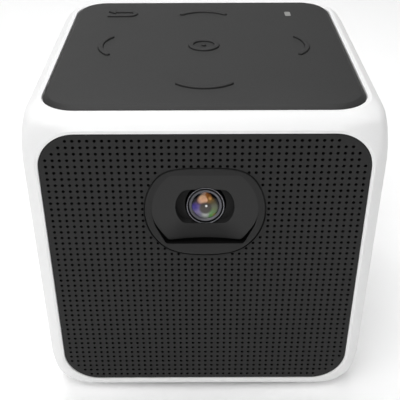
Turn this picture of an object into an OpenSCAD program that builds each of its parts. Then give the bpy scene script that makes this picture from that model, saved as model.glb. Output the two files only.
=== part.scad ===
// Pocket cube projector: a white moulded cube with a perforated black front, a lens pod and a key pad on top.
// X is the width, the lens looks along -Y, Z is up, and the origin is on the ground under the cube's centre.

/* [Body] */
// Side of the white cube
cube_w = 66.4; // [66:0.2:70]
// Radius along the cube's edges
edge_r = 2.25; // [1.8:0.05:2.6]
// White margin between a cube side and the black square set into the next face
face_margin = 3.2; // [3:0.05:3.8]
// Corner radius of the square panels
face_r = 7; // [6:0.25:8]
// Wall thickness of the shell
wall = 2.2; // [2:0.05:2.5]
// Height of the rubber feet below the shell
foot_h = 1; // [0.7:0.1:1.6]
// Thickness of the front panel, rear cover and base cover
panel_t = 1.4; // [1.2:0.05:1.6]

/* [Front] */
// Drop of the lens axis below the panel's top edge
lens_drop = 15.8; // [15.4:0.1:16.6]
// Width of the lens pod
pod_w = 22.4; // [21.6:0.1:23.2]
// Height of the lens pod
pod_h = 18.8; // [18:0.1:19.6]
// How far the pod stands out of the panel
pod_proud = 1.1; // [0.8:0.1:1.6]
// Spacing of the perforation
hole_pitch = 1.308; // [1.2:0.02:1.8]
// Diameter of one perforation
hole_d = 0.62; // [0.5:0.02:0.8]
// Width of the window in the lens shroud
window_w = 11; // [10:0.1:12]
// Height of the window in the lens shroud
window_h = 7.8; // [7.2:0.1:8.4]

/* [Keys] */
// How far the key pad stands out of the shell
pad_proud = 0.55; // [0.4:0.05:0.9]
// Distance from the pad's centre to the arrow keys
pad_ring = 21.7; // [20.5:0.1:22]
// Width of a raised key line
line_w = 1.05; // [0.9:0.05:1.2]
// Height of a raised key line above the pad
line_proud = 0.35; // [0.3:0.05:0.5]
// Travel of a key
key_travel = 0.25; // [0.15:0.05:0.25]

/* [Focus] */
// How far the focus wheel stands out of the right side
wheel_proud = 0.8; // [0.5:0.1:1.2]
// Diameter of the sliding lens barrel
barrel_d = 13; // [12.4:0.1:13.2]
// Focus travel of the barrel to either side of its rest
focus_travel = 0.6; // [0.3:0.1:0.6]

/* [Cooling] */
// Side of the square fan
fan_w = 25; // [24:0.5:25]
// Thickness of the fan
fan_t = 10; // [9:0.5:10]
// Number of fan blades
blade_count = 7; // [5:1:9]

/* [Base] */
// Diameter of the rubber feet
foot_d = 8; // [7:0.5:8.5]
// Tapping diameter of the tripod socket
tripod_d = 5.2; // [5:0.1:5.4]

/* [Hidden] */
$fn = 48;
half = cube_w / 2;
inner = half - wall;
bottom_z = foot_h;
top_z = bottom_z + cube_w;
mid_z = bottom_z + half;
face_w = cube_w - 2 * face_margin;
slip = 0.1;
sink = 0.1;
seat = sink + panel_t;
ledge_half = face_w / 2 - 1.5;
ledge_r = face_r - 1.5;
cavity_r = 7;

// Front planes along Y
panel_y0 = -half + sink;
panel_y1 = -half + seat;
pod_y = panel_y0 - pod_proud;
lens_z = mid_z + face_w / 2 - lens_drop;
window_lift = 0.8;
gap_h = 1.15;

// Rear and base planes
rear_in = half - seat;
rear_out = half - sink;
base_z0 = bottom_z + sink;
base_z1 = bottom_z + seat;
base_in = bottom_z + wall;

// Key pad stack, from the top down
pad_seat = 0.9;
pad_z0 = top_z - pad_seat;
pad_z1 = top_z + pad_proud;
deck_z0 = top_z - wall;
flange_t = 0.7;
flange_z1 = pad_z0 - 0.05;
flange_z0 = flange_z1 - flange_t;
well_gap = 0.3;
slot_gap = 0.08;
board_t = 1;
board_z1 = deck_z0 - 2.2;
board_z0 = board_z1 - board_t;
switch_h = 1.5;
plunger_z0 = board_z1 + switch_h + key_travel + 0.1;
board_half = pad_ring + 2.8;
boss_x = 12;
boss_y = 11;
arc_r = 7.5;
arc_half_angle = 44;
ok_r = 3.55;
back_x = -18.8;
led_x = 19.7;
mark_y = 20.3;

// Frame posts and plates
post = half - 8.7;
post_d = 4.4;
tray_z0 = bottom_z + 6.3;
tray_z1 = tray_z0 + 2;
deck_gap = 10;
plate_z1 = lens_z - deck_gap;
plate_z0 = plate_z1 - 2;
plate_half = post + post_d / 2;
plate_y0 = -17.5;
post_top = board_z0 - 3.5;
rear_boss_low = bottom_z + 11;
rear_boss_high = lens_z + 6.6;

// Fan
fan_y0 = rear_in - fan_t;
fan_hole = fan_w / 2 - 2.5;
duct_d = fan_w - 1.4;
rotor_d = duct_d - 1;
hub_d = 12;

// Light engine box
eng_x0 = -half + 7.7;
eng_x1 = 11;
eng_y0 = -15;
eng_y1 = 4;
eng_z0 = plate_z1;
eng_z1 = eng_z0 + 19;
eng_wall = 1.6;
eng_lid_t = 1.5;
eng_boss = 2.6;
side_post_y = eng_y0 + eng_boss + post_d;
led_y = -5.5;
dmd_x0 = -6;
lamp_half = (dmd_x0 - eng_x0 - 3.5) / 4;
red_x = eng_x0 + 2 + lamp_half;
blue_x = dmd_x0 - 0.5 - lamp_half;
led_t = 2.5;
lamp_hole_d = 1.5 * lamp_half;
sink_y0 = eng_y1 + 2;
sink_y1 = fan_y0 - 2.2;
pipe_d = 2.4;
pipe_x = eng_x0 - led_t - pipe_d / 2;
pipe_bend = 4;
pipe_y = sink_y0 + 7;

// Lens barrel and focus gears
run = 0.05;
tube_d = barrel_d + 2;
tube_y0 = -24.5;
gear_y0 = -23;
gear_y1 = -19;
tooth_pitch = 0.8;
ring_teeth = 25;
tooth_add = 0.9;
tooth_ded = 1.2;
wheel_teeth = round((half + wheel_proud) / tooth_pitch - ring_teeth / 2 - tooth_add);
gear_m = (half + wheel_proud) / (wheel_teeth + ring_teeth / 2 + tooth_add);
wheel_x = gear_m * (wheel_teeth + ring_teeth) / 2;
wheel_tip = gear_m * (wheel_teeth / 2 + tooth_add);
backlash = 0.26;
axle_d = 2.5;
bracket_y1 = -15.5;
snout_d = 7;
snout_y = panel_y0 + 1.6;
ring_in_d = 5;
ring_out_d = 5.88;
barrel_y0 = tube_y0 - 0.5;
barrel_y1 = -9.4;
pin_y = (gear_y0 + gear_y1) / 2;
pin_d = 1.2;
pin_room = pin_d / 2 + focus_travel + 0.15;

// Speaker, with the battery behind it
gasket_t = 1;
speaker_w = lens_z - bottom_z - 17.4;
speaker_z = bottom_z + 4.2 + speaker_w / 2;
speaker_hole_r = speaker_w / 2 - 2.2;
cell_y0 = panel_y1 + gasket_t + 13.7;
cell_y1 = post - 4;

// Circuit board and sockets
main_z0 = plate_z0 - 10.4;
main_z1 = main_z0 + 1.4;
main_half = post - post_d / 2 - 0.8;
main_y0 = cell_y0 + 2;
main_y1 = rear_in - 2.2;
main_boss_x = main_half - 3.5;
cell_half = main_half;
cell_z1 = main_z0 - 3.2;
main_boss_ya = -10;
main_boss_yb = 12;
socket_y1 = rear_in - 0.05;
hdmi_x = -16;
usb_x = -2.4;
charge_x = 9.8;
jack_x = 18.5;
jack_bore = 3.6;
switch_x = -13;
power_travel = 3;
knob_w = 2.6;
ir_x = 12;
ir_z = main_z0 - 7;

// Colours
white = "#f2f2f0";
black = "#303030";
dark = "#1c1c1e";
grey = "#8d9094";
steel = "#c3c6c9";
copper = "#b87333";
brass = "#c9a54c";
board_green = "#1d5a3a";
glass = "#a9c4d8";

// Shared shapes

// Square with rounded corners, centred
module rounded_square(w, h, r) {
    square([w - 2 * r, h], center = true);
    square([w, h - 2 * r], center = true);
    for (x = [-1, 1], y = [-1, 1]) {
        translate([x * (w / 2 - r), y * (h / 2 - r)]) circle(r);
    }
}

// Slot with round ends, centred, along X
module slot(l, w) {
    square([l - w, w], center = true);
    for (x = [-1, 1]) {
        translate([x * (l - w) / 2, 0]) circle(w / 2, $fn = 24);
    }
}

// Outline of the square panels, grown by a clearance
module face_outline(grow) {
    rounded_square(face_w + 2 * grow, face_w + 2 * grow, face_r + grow);
}

// Outline of the openings behind the panels, grown by a clearance
module ledge_outline(grow) {
    rounded_square(2 * (ledge_half + grow), 2 * (ledge_half + grow), ledge_r + grow);
}

// Draws a flat outline in X and Z and gives it depth from y0 to y1
module upright(y0, y1) {
    translate([0, y1, 0]) rotate([90, 0, 0]) linear_extrude(y1 - y0) children();
}

// Gives a flat outline in X and Y height from z0 to z1
module level(z0, z1) {
    translate([0, 0, z0]) linear_extrude(z1 - z0) children();
}

// Round rod along Y
module rod_y(d, y0, y1) {
    translate([0, y1, 0]) rotate([90, 0, 0]) cylinder(d = d, h = y1 - y0);
}

// Repeats a child at the four corners of a rectangle in X and Y
module at_corners(x, y) {
    for (sx = [-1, 1], sy = [-1, 1]) {
        translate([sx * x, sy * y, 0]) children();
    }
}

// Box given by two opposite corners
module span(a, b) {
    translate(a) cube(b - a);
}

// Screw with a hexagon socket, head below z = 0 and shank above
module screw(d, length, head_d, head_h) {
    difference() {
        union() {
            translate([0, 0, -head_h]) cylinder(d = head_d, h = head_h, $fn = 32);
            cylinder(d = d, h = length, $fn = 24);
        }
        translate([0, 0, -head_h - 1]) cylinder(d = d * 0.8, h = 1 + head_h * 0.6, $fn = 6);
    }
}

// Circle with a flat cut across its top and bottom
module flatted_circle(d, low, high) {
    intersection() {
        circle(d = d, $fn = 96);
        translate([-d, low]) square([2 * d, high - low]);
    }
}

// Cube with one edge radius and wider corners: a hull over rounded slabs on three axes
module rounded_cube() {
    reach = half - edge_r;
    blend = face_r + face_margin - edge_r;
    hull() {
        for (t = [0:30:90], turn = [[0, 0, 0], [90, 0, 0], [0, 90, 0]]) {
            grow = edge_r * cos(t);
            side = 2 * (reach + grow);
            rotate(turn) linear_extrude(2 * (reach + edge_r * sin(t)), center = true)
                rounded_square(side, side, blend + grow, $fn = 32);
        }
    }
}

// Outlines of the raised key lines, grown on all sides by a clearance

// Point on a circle, at an angle turned from +Y towards +X
function on_circle(r, angle) = r * [sin(angle), cos(angle)];

// Curved bar with round ends, bulging away from the pad's centre
module arc_mark(grow) {
    w = line_w / 2 + grow;
    a = arc_half_angle;
    step = a / 8;
    outer = [for (t = [-a:step:a]) on_circle(arc_r + w, t)];
    right_end = [for (t = [30:30:150]) on_circle(arc_r, a) + on_circle(w, a + t)];
    inner_side = [for (t = [a:-step:-a]) on_circle(arc_r - w, t)];
    left_end = [for (t = [210:30:330]) on_circle(arc_r, -a) + on_circle(w, t - a)];
    translate([0, pad_ring - arc_r]) polygon(concat(outer, right_end, inner_side, left_end));
}

// Round key with a raised ring and a dot on it
module ok_mark() {
    difference() {
        circle(ok_r, $fn = 64);
        circle(ok_r - line_w, $fn = 64);
    }
    circle(0.5, $fn = 24);
}

// Arrow that turns back on itself
module back_mark(grow) {
    w = line_w + 2 * grow;
    turn = 1.4;
    difference() {
        translate([1.6, 0]) circle(turn + w / 2);
        translate([1.6, 0]) circle(turn - w / 2);
        translate([-3.4, -4]) square([5, 8]);
    }
    translate([-2.4, turn - w / 2]) square([4, w]);
    translate([-3.4 - grow, -turn - w / 2]) square([5 + grow, w]);
    barb = 1.5 + 2 * grow;
    polygon([[-3.9 - 2 * grow, turn], [-1.8 + grow, turn + barb], [-1.8 + grow, turn - barb]]);
}

// Soft key: raised line on top, flange under the pad, plunger over its switch
module key_stem(x, y) {
    translate([x, y, plunger_z0]) cylinder(d = 2.4, h = flange_z0 - plunger_z0 + 0.2, $fn = 32);
}

module arrow_key(turn) {
    color(black) rotate(turn) {
        level(flange_z1 - 0.2, pad_z1 + line_proud) arc_mark(0);
        level(flange_z0, flange_z1) translate([0, pad_ring - 1]) rounded_square(12.6, 4.6, 1.5);
        key_stem(0, pad_ring - 1);
    }
}

module key_wells(grow) {
    for (turn = [0:90:270]) {
        rotate(turn) translate([0, pad_ring - 1]) rounded_square(12.6 + 2 * grow, 4.6 + 2 * grow, 1.5 + grow);
    }
    circle(4.6 + grow);
    translate([back_x, mark_y]) rounded_square(9 + 2 * grow, 6.4 + 2 * grow, 1.5 + grow);
}

// Case

module main_shell() {
    slot_y = 0.6;
    slot_half = sqrt(pow(wheel_tip + 0.5, 2) - pow(inner - wheel_x, 2)) + 0.4;
    color(white) {
        difference() {
            translate([0, 0, mid_z]) rounded_cube();
            upright(-inner, inner) translate([0, mid_z]) rounded_square(2 * inner, 2 * inner, cavity_r);
            // Seats and openings for the front panel and the rear cover
            for (turn = [0, 180]) {
                rotate(turn) translate([0, 0, mid_z]) {
                    upright(-half - 1, panel_y1) face_outline(slip);
                    upright(-half - 1, -inner + 1.8) ledge_outline(0);
                }
            }
            // Seat and opening for the base cover
            level(bottom_z - 1, base_z1) face_outline(slip);
            level(bottom_z - 1, bottom_z + 4) ledge_outline(0);
            // Recess for the key pad, key wells and the light guide's hole
            level(pad_z0, top_z + 1) face_outline(slip);
            level(deck_z0 - 1, pad_z0 + 1) key_wells(well_gap);
            level(deck_z0 - 1, pad_z0 + 1) translate([led_x, mark_y]) rounded_square(1.7, 3.4, 0.5);
            // Slot for the focus wheel
            span([inner - 1, gear_y0 - slot_y, lens_z - slot_half],
                [half + 1, gear_y1 + slot_y, lens_z + slot_half]);
        }
        // Bosses that carry the key board
        at_corners(boss_x, boss_y) difference() {
            translate([0, 0, board_z1]) cylinder(d = 4, h = deck_z0 - board_z1 + 0.2);
            translate([0, 0, board_z1 - 1]) cylinder(d = 1.64, h = 3);
        }
    }
}

module pod_outline(shrink) {
    flatted_circle(pod_w - 2 * shrink, -pod_h / 2 + shrink, pod_h / 2 - shrink);
}

module pod_opening(shrink) {
    flatted_circle(pod_w - 2.9 - 2 * shrink, -pod_h / 2 + 2.75 + shrink, pod_h / 2 - 1.5 - shrink);
}

module front_panel() {
    rows = floor(speaker_hole_r / hole_pitch);
    color(black) {
        difference() {
            union() {
                upright(panel_y0, panel_y1) translate([0, mid_z]) face_outline(0);
                upright(pod_y, panel_y1) translate([0, lens_z]) pod_outline(0);
            }
            upright(pod_y - 1, panel_y1 + 1) translate([0, lens_z]) pod_opening(0);
            upright(panel_y0 - 1, panel_y1 + 1) translate([0, speaker_z]) {
                for (j = [-rows:rows]) {
                    reach = floor(sqrt(pow(speaker_hole_r, 2) - pow(j * hole_pitch, 2)) / hole_pitch);
                    union() for (i = [-reach:reach]) {
                        translate([i, j] * hole_pitch) circle(d = hole_d, $fn = 16);
                    }
                }
            }
        }
        // Snap hooks that grip behind the seat
        for (turn = [0:90:270], s = [-18, 18]) {
            translate([0, 0, mid_z]) rotate([0, turn, 0]) translate([s, 0, ledge_half]) {
                span([-2, panel_y1 - 0.2, -1.2], [2, panel_y1 + 2, -0.1]);
                span([-2, -inner + 0.05, -0.6], [2, panel_y1 + 2, 0.8]);
            }
        }
    }
}

module lens_shroud() {
    flange_y1 = panel_y1 + 1;
    low = -pod_h / 2 + 2.75;
    tilt = 10;
    color(black) difference() {
        union() {
            intersection() {
                upright(pod_y, panel_y1 + 0.1) translate([0, lens_z]) intersection() {
                    pod_opening(run);
                    translate([0, gap_h]) pod_opening(run);
                }
                upright(pod_y, panel_y1 + 1) translate([-pod_w, lens_z + low + gap_h])
                    square([2 * pod_w, pod_h]);
            }
            upright(panel_y1, flange_y1) translate([0, lens_z + 1.4])
                flatted_circle(pod_w + 3, low + gap_h - 2, 10);
        }
        // The plate leans back below the window
        translate([0, pod_y, lens_z - window_h / 2 + window_lift + 1]) rotate([-tilt, 0, 0])
            span([-15, -3, -12], [15, 0, 0]);
        // Window and the hollow behind it
        upright(pod_y - 1, flange_y1 + 1) translate([0, lens_z + window_lift])
            flatted_circle(window_w, -window_h / 2, window_h / 2);
        upright(pod_y + 1.1, flange_y1 + 1) translate([0, lens_z])
            flatted_circle(pod_w - 5.4, low + gap_h + 1, 7.4);
    }
}

module top_pad() {
    bevel = 2 * pad_proud;
    color(black) difference() {
        // Slab with a bevelled rim where it stands out of the shell
        hull() {
            level(pad_z0, top_z + 0.02) face_outline(0, $fn = 32);
            level(pad_z1 - 0.02, pad_z1) face_outline(-bevel, $fn = 32);
        }
        level(pad_z0 - 1, pad_z1 + 1) {
            for (turn = [0:90:270]) {
                rotate(turn) arc_mark(slot_gap);
            }
            circle(ok_r + slot_gap, $fn = 64);
            translate([back_x, mark_y]) back_mark(slot_gap);
            translate([led_x, mark_y]) rounded_square(1.6, 3.3, 0.45);
        }
    }
}

module key_up() {
    arrow_key(0);
}

module key_left() {
    arrow_key(90);
}

module key_down() {
    arrow_key(180);
}

module key_right() {
    arrow_key(270);
}

module key_ok() {
    color(black) {
        level(flange_z1 - 0.2, pad_z1) circle(ok_r, $fn = 64);
        level(pad_z1 - 0.2, pad_z1 + line_proud) ok_mark();
        level(flange_z0, flange_z1) circle(4.6);
        key_stem(0, 0);
    }
}

module key_back() {
    color(black) {
        translate([back_x, mark_y]) {
            level(flange_z1 - 0.2, pad_z1 + line_proud) back_mark(0);
            level(flange_z0, flange_z1) rounded_square(9, 6.4, 1.5);
        }
        key_stem(back_x, mark_y);
    }
}

module light_guide() {
    color(glass) translate([led_x, mark_y]) {
        level(board_z1 + 0.8, pad_z1) rounded_square(1.5, 3.2, 0.4);
        level(deck_z0 - 0.6, deck_z0) rounded_square(3, 4.6, 0.6);
    }
}

module rear_cover() {
    vent_pitch = 2.9;
    vent_r = duct_d / 2 - 0.8;
    color(white) difference() {
        upright(rear_in, rear_out) translate([0, mid_z]) face_outline(0);
        upright(rear_in - 1, rear_out + 1) {
            // Air outlet in front of the fan
            for (k = [-3.5:1:3.5]) {
                drop = k * vent_pitch;
                translate([0, lens_z + drop]) slot(2 * sqrt(pow(vent_r, 2) - pow(drop, 2)), 1.5);
            }
            // Fan and cover screws
            translate([0, lens_z]) at_corners(fan_hole, fan_hole) circle(d = 2.04, $fn = 24);
            for (x = [-post, post], z = [rear_boss_low, rear_boss_high]) {
                translate([x, z]) circle(d = 2.2, $fn = 24);
            }
            // Socket mouths
            translate([hdmi_x, main_z1 + 1.65]) rounded_square(11.6, 3.7, 0.6);
            translate([usb_x, main_z1 + 2.85]) rounded_square(13.6, 6.2, 0.5);
            translate([charge_x, main_z1 + 1.6]) slot(9.5, 3.8);
            translate([jack_x, main_z1 + 2.5]) circle(d = 5.2);
            translate([switch_x, main_z0 - 2.2]) rounded_square(knob_w + power_travel + 0.8, 2.8, 0.4);
            translate([ir_x, ir_z]) rounded_square(7, 4, 0.8);
        }
    }
}

module base_cover() {
    color(white) difference() {
        union() {
            level(base_z0, base_z1) face_outline(0);
            level(base_z1 - 0.2, base_in) ledge_outline(-0.2);
        }
        at_corners(post, post) {
            translate([0, 0, base_z0 - 1]) cylinder(d = foot_d + 0.2, h = 1.5);
            cylinder(d = 4.2, h = base_z0 + 1.5);
            cylinder(d = 2.2, h = base_in + 1);
        }
        // Hole for the tripod bush
        cylinder(d = 8.04, h = base_in + 1);
        // Air inlet
        for (s = [-1, 1], k = [0:4]) {
            level(0, base_in + 1) translate([0, s * (9 + k * 2.8)]) slot(30, 1.4);
        }
    }
}

module feet() {
    top = base_z0 + 0.5;
    r = foot_d / 2;
    color(dark) at_corners(post, post)
        rotate_extrude() polygon([[0, 0], [r - 0.5, 0], [r, 0.5], [r, top], [0, top]]);
}

module tripod_bush() {
    color(brass) difference() {
        union() {
            translate([0, 0, base_z0]) cylinder(d = 8, h = tray_z0 - base_z0);
            translate([0, 0, base_in]) cylinder(d = 11, h = 1.2);
        }
        translate([0, 0, base_z0 - 1]) cylinder(d = tripod_d, h = tray_z0 - base_z0);
    }
}

module base_screws() {
    color(steel) at_corners(post, post) translate([0, 0, base_z0 + 1.5]) screw(2, 5.2, 3.8, 1);
}

module rear_screws() {
    color(steel) for (x = [-post, post], z = [rear_boss_low, rear_boss_high]) {
        translate([x, rear_out, z]) rotate([90, 0, 0]) screw(2, 6, 3.6, 0.9);
    }
}

// Inner frame

module chassis() {
    color(grey) difference() {
        union() {
            level(tray_z0, tray_z1) rounded_square(2 * plate_half, 2 * plate_half, 4);
            level(plate_z0, plate_z1) translate([0, (plate_y0 + plate_half) / 2])
                rounded_square(2 * plate_half, plate_half - plate_y0, 2);
            // Front feet, side posts and tall rear posts
            at_corners(post, post) translate([0, 0, base_in]) cylinder(d = post_d, h = tray_z1 - base_in);
            for (s = [-1, 1]) {
                translate([s * post, side_post_y, tray_z0]) cylinder(d = post_d, h = plate_z1 - tray_z0);
                translate([s * post, post, tray_z0]) cylinder(d = post_d, h = post_top - tray_z0);
                for (z = [rear_boss_low, rear_boss_high]) {
                    translate([s * post, 0, z]) rod_y(post_d, post, rear_in);
                }
            }
            // Bosses that carry the main board
            for (x = [-main_boss_x, main_boss_x], y = [main_boss_ya, main_boss_yb]) {
                translate([x, y, main_z1]) cylinder(d = 4.4, h = plate_z0 - main_z1 + 0.2);
            }
            // Bracket of the focus wheel
            span([wheel_x - 4.5, plate_y0, plate_z0], [wheel_x + 4.5, bracket_y1, lens_z + 4]);
        }
        // Room for the fan
        span([-fan_w / 2 - 0.8, fan_y0 - 1.6, plate_z0 - 1], [fan_w / 2 + 0.8, plate_half + 1, plate_z1 + 1]);
        // Room for the speaker
        span([-speaker_w / 2 - 0.8, -plate_half - 1, tray_z0 - 1],
            [speaker_w / 2 + 0.8, cell_y0 - 0.5, tray_z1 + 1]);
        // Room for the sockets between the rear posts
        span([hdmi_x - 6.5, socket_y1 - 14, main_z0], [jack_x + 4, rear_in + 1, main_z1 + 6.2]);
        // Screw holes
        at_corners(post, post) cylinder(d = 2.04, h = base_z0 + 7.2);
        for (x = [-post, post], z = [rear_boss_low, rear_boss_high]) {
            translate([x, 0, z]) rod_y(2.04, rear_out - 6.5, rear_in + 1);
        }
        for (x = [-main_boss_x, main_boss_x], y = [main_boss_ya, main_boss_yb]) {
            translate([x, y, main_z1 - 1]) cylinder(d = 1.64, h = 5);
        }
        engine_corners() translate([0, 0, plate_z0 - 1]) cylinder(d = 1.8, h = 4);
        translate([wheel_x, 0, lens_z]) rod_y(axle_d + 0.02, plate_y0 - 1, bracket_y1 + 1);
    }
}

module key_board() {
    color(board_green) difference() {
        level(board_z0, board_z1) rounded_square(2 * board_half, 2 * board_half, 3);
        at_corners(boss_x, boss_y) translate([0, 0, board_z0 - 1]) cylinder(d = 1.8, h = 3);
    }
}

module tact_switch() {
    translate([-2.1, -1.6, board_z1]) cube([4.2, 3.2, 1]);
    translate([0, 0, board_z1 + 0.8]) cylinder(d = 1.9, h = switch_h - 0.8, $fn = 24);
}

module key_switches() {
    color(steel) {
        for (turn = [0:90:270]) {
            rotate(turn) translate([0, pad_ring - 1, 0]) tact_switch();
        }
        tact_switch();
        translate([back_x, mark_y, 0]) tact_switch();
    }
}

module status_led() {
    color(glass) translate([led_x, mark_y]) level(board_z1, board_z1 + 0.6) square([0.8, 1.6], center = true);
}

module key_board_screws() {
    color(steel) at_corners(boss_x, boss_y) translate([0, 0, board_z0]) screw(1.6, 2.8, 3, 0.8);
}

// Light engine

module engine_corners() {
    for (x = [eng_x0 + eng_boss, eng_x1 - eng_boss], y = [eng_y0 + eng_boss, eng_y1 - eng_boss]) {
        translate([x, y, 0]) children();
    }
}

module engine_housing() {
    color(grey) difference() {
        union() {
            difference() {
                span([eng_x0, eng_y0, eng_z0], [eng_x1, eng_y1, eng_z1]);
                span([eng_x0 + eng_wall, eng_y0 + eng_wall, eng_z0 + eng_wall],
                    [eng_x1 - eng_wall, eng_y1 - eng_wall, eng_z1 + 1]);
            }
            engine_corners() translate([0, 0, eng_z0]) cylinder(d = 3.6, h = eng_z1 - eng_z0);
            translate([0, 0, lens_z]) {
                rod_y(tube_d, tube_y0, eng_y0 + 0.5);
                rod_y(tube_d + 3, gear_y1 + run, eng_y0 + 0.5);
            }
        }
        // Lens tube and the slot for the barrel's pin
        translate([0, 0, lens_z]) rod_y(barrel_d + 2 * run, tube_y0 - 1, eng_y0 + eng_wall + 1);
        span([-0.7, pin_y - pin_room, lens_z + barrel_d / 2 - 1], [0.7, pin_y + pin_room, lens_z + tube_d]);
        // Openings for the three lamps and the mirror chip
        translate([eng_x0 - 1, led_y, lens_z]) rotate([0, 90, 0]) cylinder(d = lamp_hole_d, h = eng_wall + 2);
        for (x = [red_x, blue_x]) {
            translate([x, 0, lens_z]) rod_y(lamp_hole_d, eng_y1 - eng_wall - 1, eng_y1 + 1);
        }
        span([-5.4, eng_y1 - eng_wall - 1, lens_z - 4.2], [5.4, eng_y1 + 1, lens_z + 4.2]);
        // Screw holes in the corner bosses
        engine_corners() {
            translate([0, 0, eng_z0 - 1]) cylinder(d = 1.64, h = 6);
            translate([0, 0, eng_z1 - 5]) cylinder(d = 1.64, h = 6);
        }
    }
}

module engine_cover() {
    color(dark) difference() {
        span([eng_x0, eng_y0, eng_z1], [eng_x1, eng_y1, eng_z1 + eng_lid_t]);
        engine_corners() translate([0, 0, eng_z1 - 1]) cylinder(d = 1.8, h = 4);
    }
}

module engine_screws() {
    color(steel) engine_corners() {
        translate([0, 0, plate_z0]) screw(1.6, 6.2, 3, 0.8);
        translate([0, 0, eng_z1 + eng_lid_t]) rotate([180, 0, 0]) screw(1.6, 6.2, 3, 0.8);
    }
}

module lens_barrel() {
    color(dark) translate([0, 0, lens_z]) {
        difference() {
            union() {
                rod_y(barrel_d, barrel_y0, barrel_y1);
                rod_y(snout_d, snout_y, barrel_y0 + 0.5);
            }
            rod_y(ring_out_d + 0.04, snout_y - 1, snout_y + 3.2);
            rod_y(snout_d - 0.5, snout_y - 1, snout_y + 0.5);
            rod_y(ring_in_d, snout_y, barrel_y1 + 1);
            rod_y(10.04, barrel_y1 - 3.4, barrel_y1 + 1);
        }
        // Pin that rides in the focus ring's groove
        translate([0, pin_y, barrel_d / 2 - 1])
            cylinder(d = pin_d, h = (tube_d - barrel_d) / 2 + 1.5, $fn = 24);
    }
}

// Lens with a bulged front: a disc met by a large ball
module bulged_lens(d, y0, y1, ball_r) {
    intersection() {
        rod_y(d, y0, y1);
        translate([0, y0 + ball_r, 0]) sphere(ball_r, $fn = 96);
    }
}

module front_lens() {
    color(glass) translate([0, 0, lens_z]) bulged_lens(ring_out_d, snout_y + 0.75, snout_y + 3.2, 5);
}

module rear_lens() {
    color(glass) translate([0, 0, lens_z]) bulged_lens(10, barrel_y1 - 3.4, barrel_y1 - 0.6, 14);
}

module lens_ring() {
    color(steel) translate([0, 0, lens_z]) difference() {
        rod_y(ring_out_d, snout_y + 0.1, snout_y + 1);
        rod_y(ring_in_d, snout_y - 1, snout_y + 2);
    }
}

// Spur gear outline with straight-sided teeth, its first tooth at an angle
module gear_outline(teeth, first) {
    pitch_r = gear_m * teeth / 2;
    root_r = pitch_r - tooth_ded * gear_m;
    tip_r = pitch_r + tooth_add * gear_m;
    flank = tan(20);
    mid = (PI * gear_m / 2 - backlash) / 2;
    tip = mid - flank * tooth_add * gear_m;
    root = mid + flank * tooth_ded * gear_m;
    circle(root_r, $fn = 96);
    for (i = [0:teeth - 1]) {
        rotate(first + i * 360 / teeth)
            polygon([[root_r - 0.3, -root], [root_r, -root], [tip_r, -tip], [tip_r, tip], [root_r, root],
                [root_r - 0.3, root]]);
    }
}

module focus_ring() {
    color(dark) translate([0, 0, lens_z]) difference() {
        upright(gear_y0, gear_y1) gear_outline(ring_teeth, 180 / ring_teeth);
        rod_y(tube_d + 2 * run, gear_y0 - 1, gear_y1 + 1);
        rod_y(tube_d + 1.4, pin_y - pin_room, pin_y + pin_room);
    }
}

module focus_clip() {
    color(steel) translate([0, 0, lens_z]) difference() {
        rod_y(tube_d + 3, gear_y0 - 0.75, gear_y0 - run);
        rod_y(tube_d + 0.02, gear_y0 - 2, gear_y0 + 1);
        span([-1.5, gear_y0 - 2, -tube_d], [1.5, gear_y0 + 1, 0]);
    }
}

module focus_wheel() {
    color(dark) translate([wheel_x, 0, lens_z]) difference() {
        union() {
            upright(gear_y0, gear_y1) gear_outline(wheel_teeth, 180);
            rod_y(6, gear_y0 - 0.4, plate_y0 - 0.2);
        }
        rod_y(axle_d + 2 * run, gear_y0 - 2, plate_y0 + 1);
    }
}

module focus_axle() {
    color(steel) translate([wheel_x, 0, lens_z]) {
        rod_y(4, gear_y0 - 1.5, gear_y0 - 0.7);
        rod_y(axle_d, gear_y0 - 0.8, bracket_y1);
    }
}

module prism() {
    s = 10;
    gap = 0.15;
    color(glass) translate([-s / 2, eng_y1 - eng_wall - s - 0.4, 0]) level(eng_z0 + eng_wall, lens_z + 6) {
        polygon([[0, 0], [s - gap, 0], [0, s - gap]]);
        polygon([[s, s], [gap, s], [s, gap]]);
    }
}

module dichroic_plates() {
    color(glass) for (x = [red_x, blue_x]) {
        translate([x, led_y, eng_z0 + eng_wall]) rotate(45) translate([-4.5, -0.5, 0]) cube([9, 1, 14]);
    }
}

module collimators() {
    color(glass) {
        for (x = [red_x, blue_x]) {
            translate([x, 0, lens_z]) bulged_lens(lamp_hole_d - 0.04, eng_y1 - 2.4, eng_y1, 5);
        }
        translate([eng_x0, led_y, lens_z]) rotate(90) bulged_lens(lamp_hole_d - 0.04, -2.4, 0, 5);
    }
}

// Lamp on its copper board, facing -Y with its back at y = t
module lamp(t, tint) {
    color(tint) span([-lamp_half, 0, -5], [lamp_half, t, 5]);
}

module led_red() {
    translate([red_x, eng_y1, lens_z]) lamp(sink_y0 - eng_y1, "#c0392b");
}

module led_blue() {
    translate([blue_x, eng_y1, lens_z]) lamp(sink_y0 - eng_y1, "#2e5fa8");
}

module led_green() {
    translate([eng_x0, led_y, lens_z]) rotate(90) lamp(led_t, "#2e8b57");
}

module dmd_board() {
    color(board_green) span([dmd_x0, eng_y1 + 1, eng_z0 + 1], [eng_x1, sink_y0, eng_z1 - 1]);
}

module dmd_chip() {
    color(steel) span([-5, eng_y1 - eng_wall - 0.2, lens_z - 3.8], [5, eng_y1 + 1, lens_z + 3.8]);
}

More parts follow.
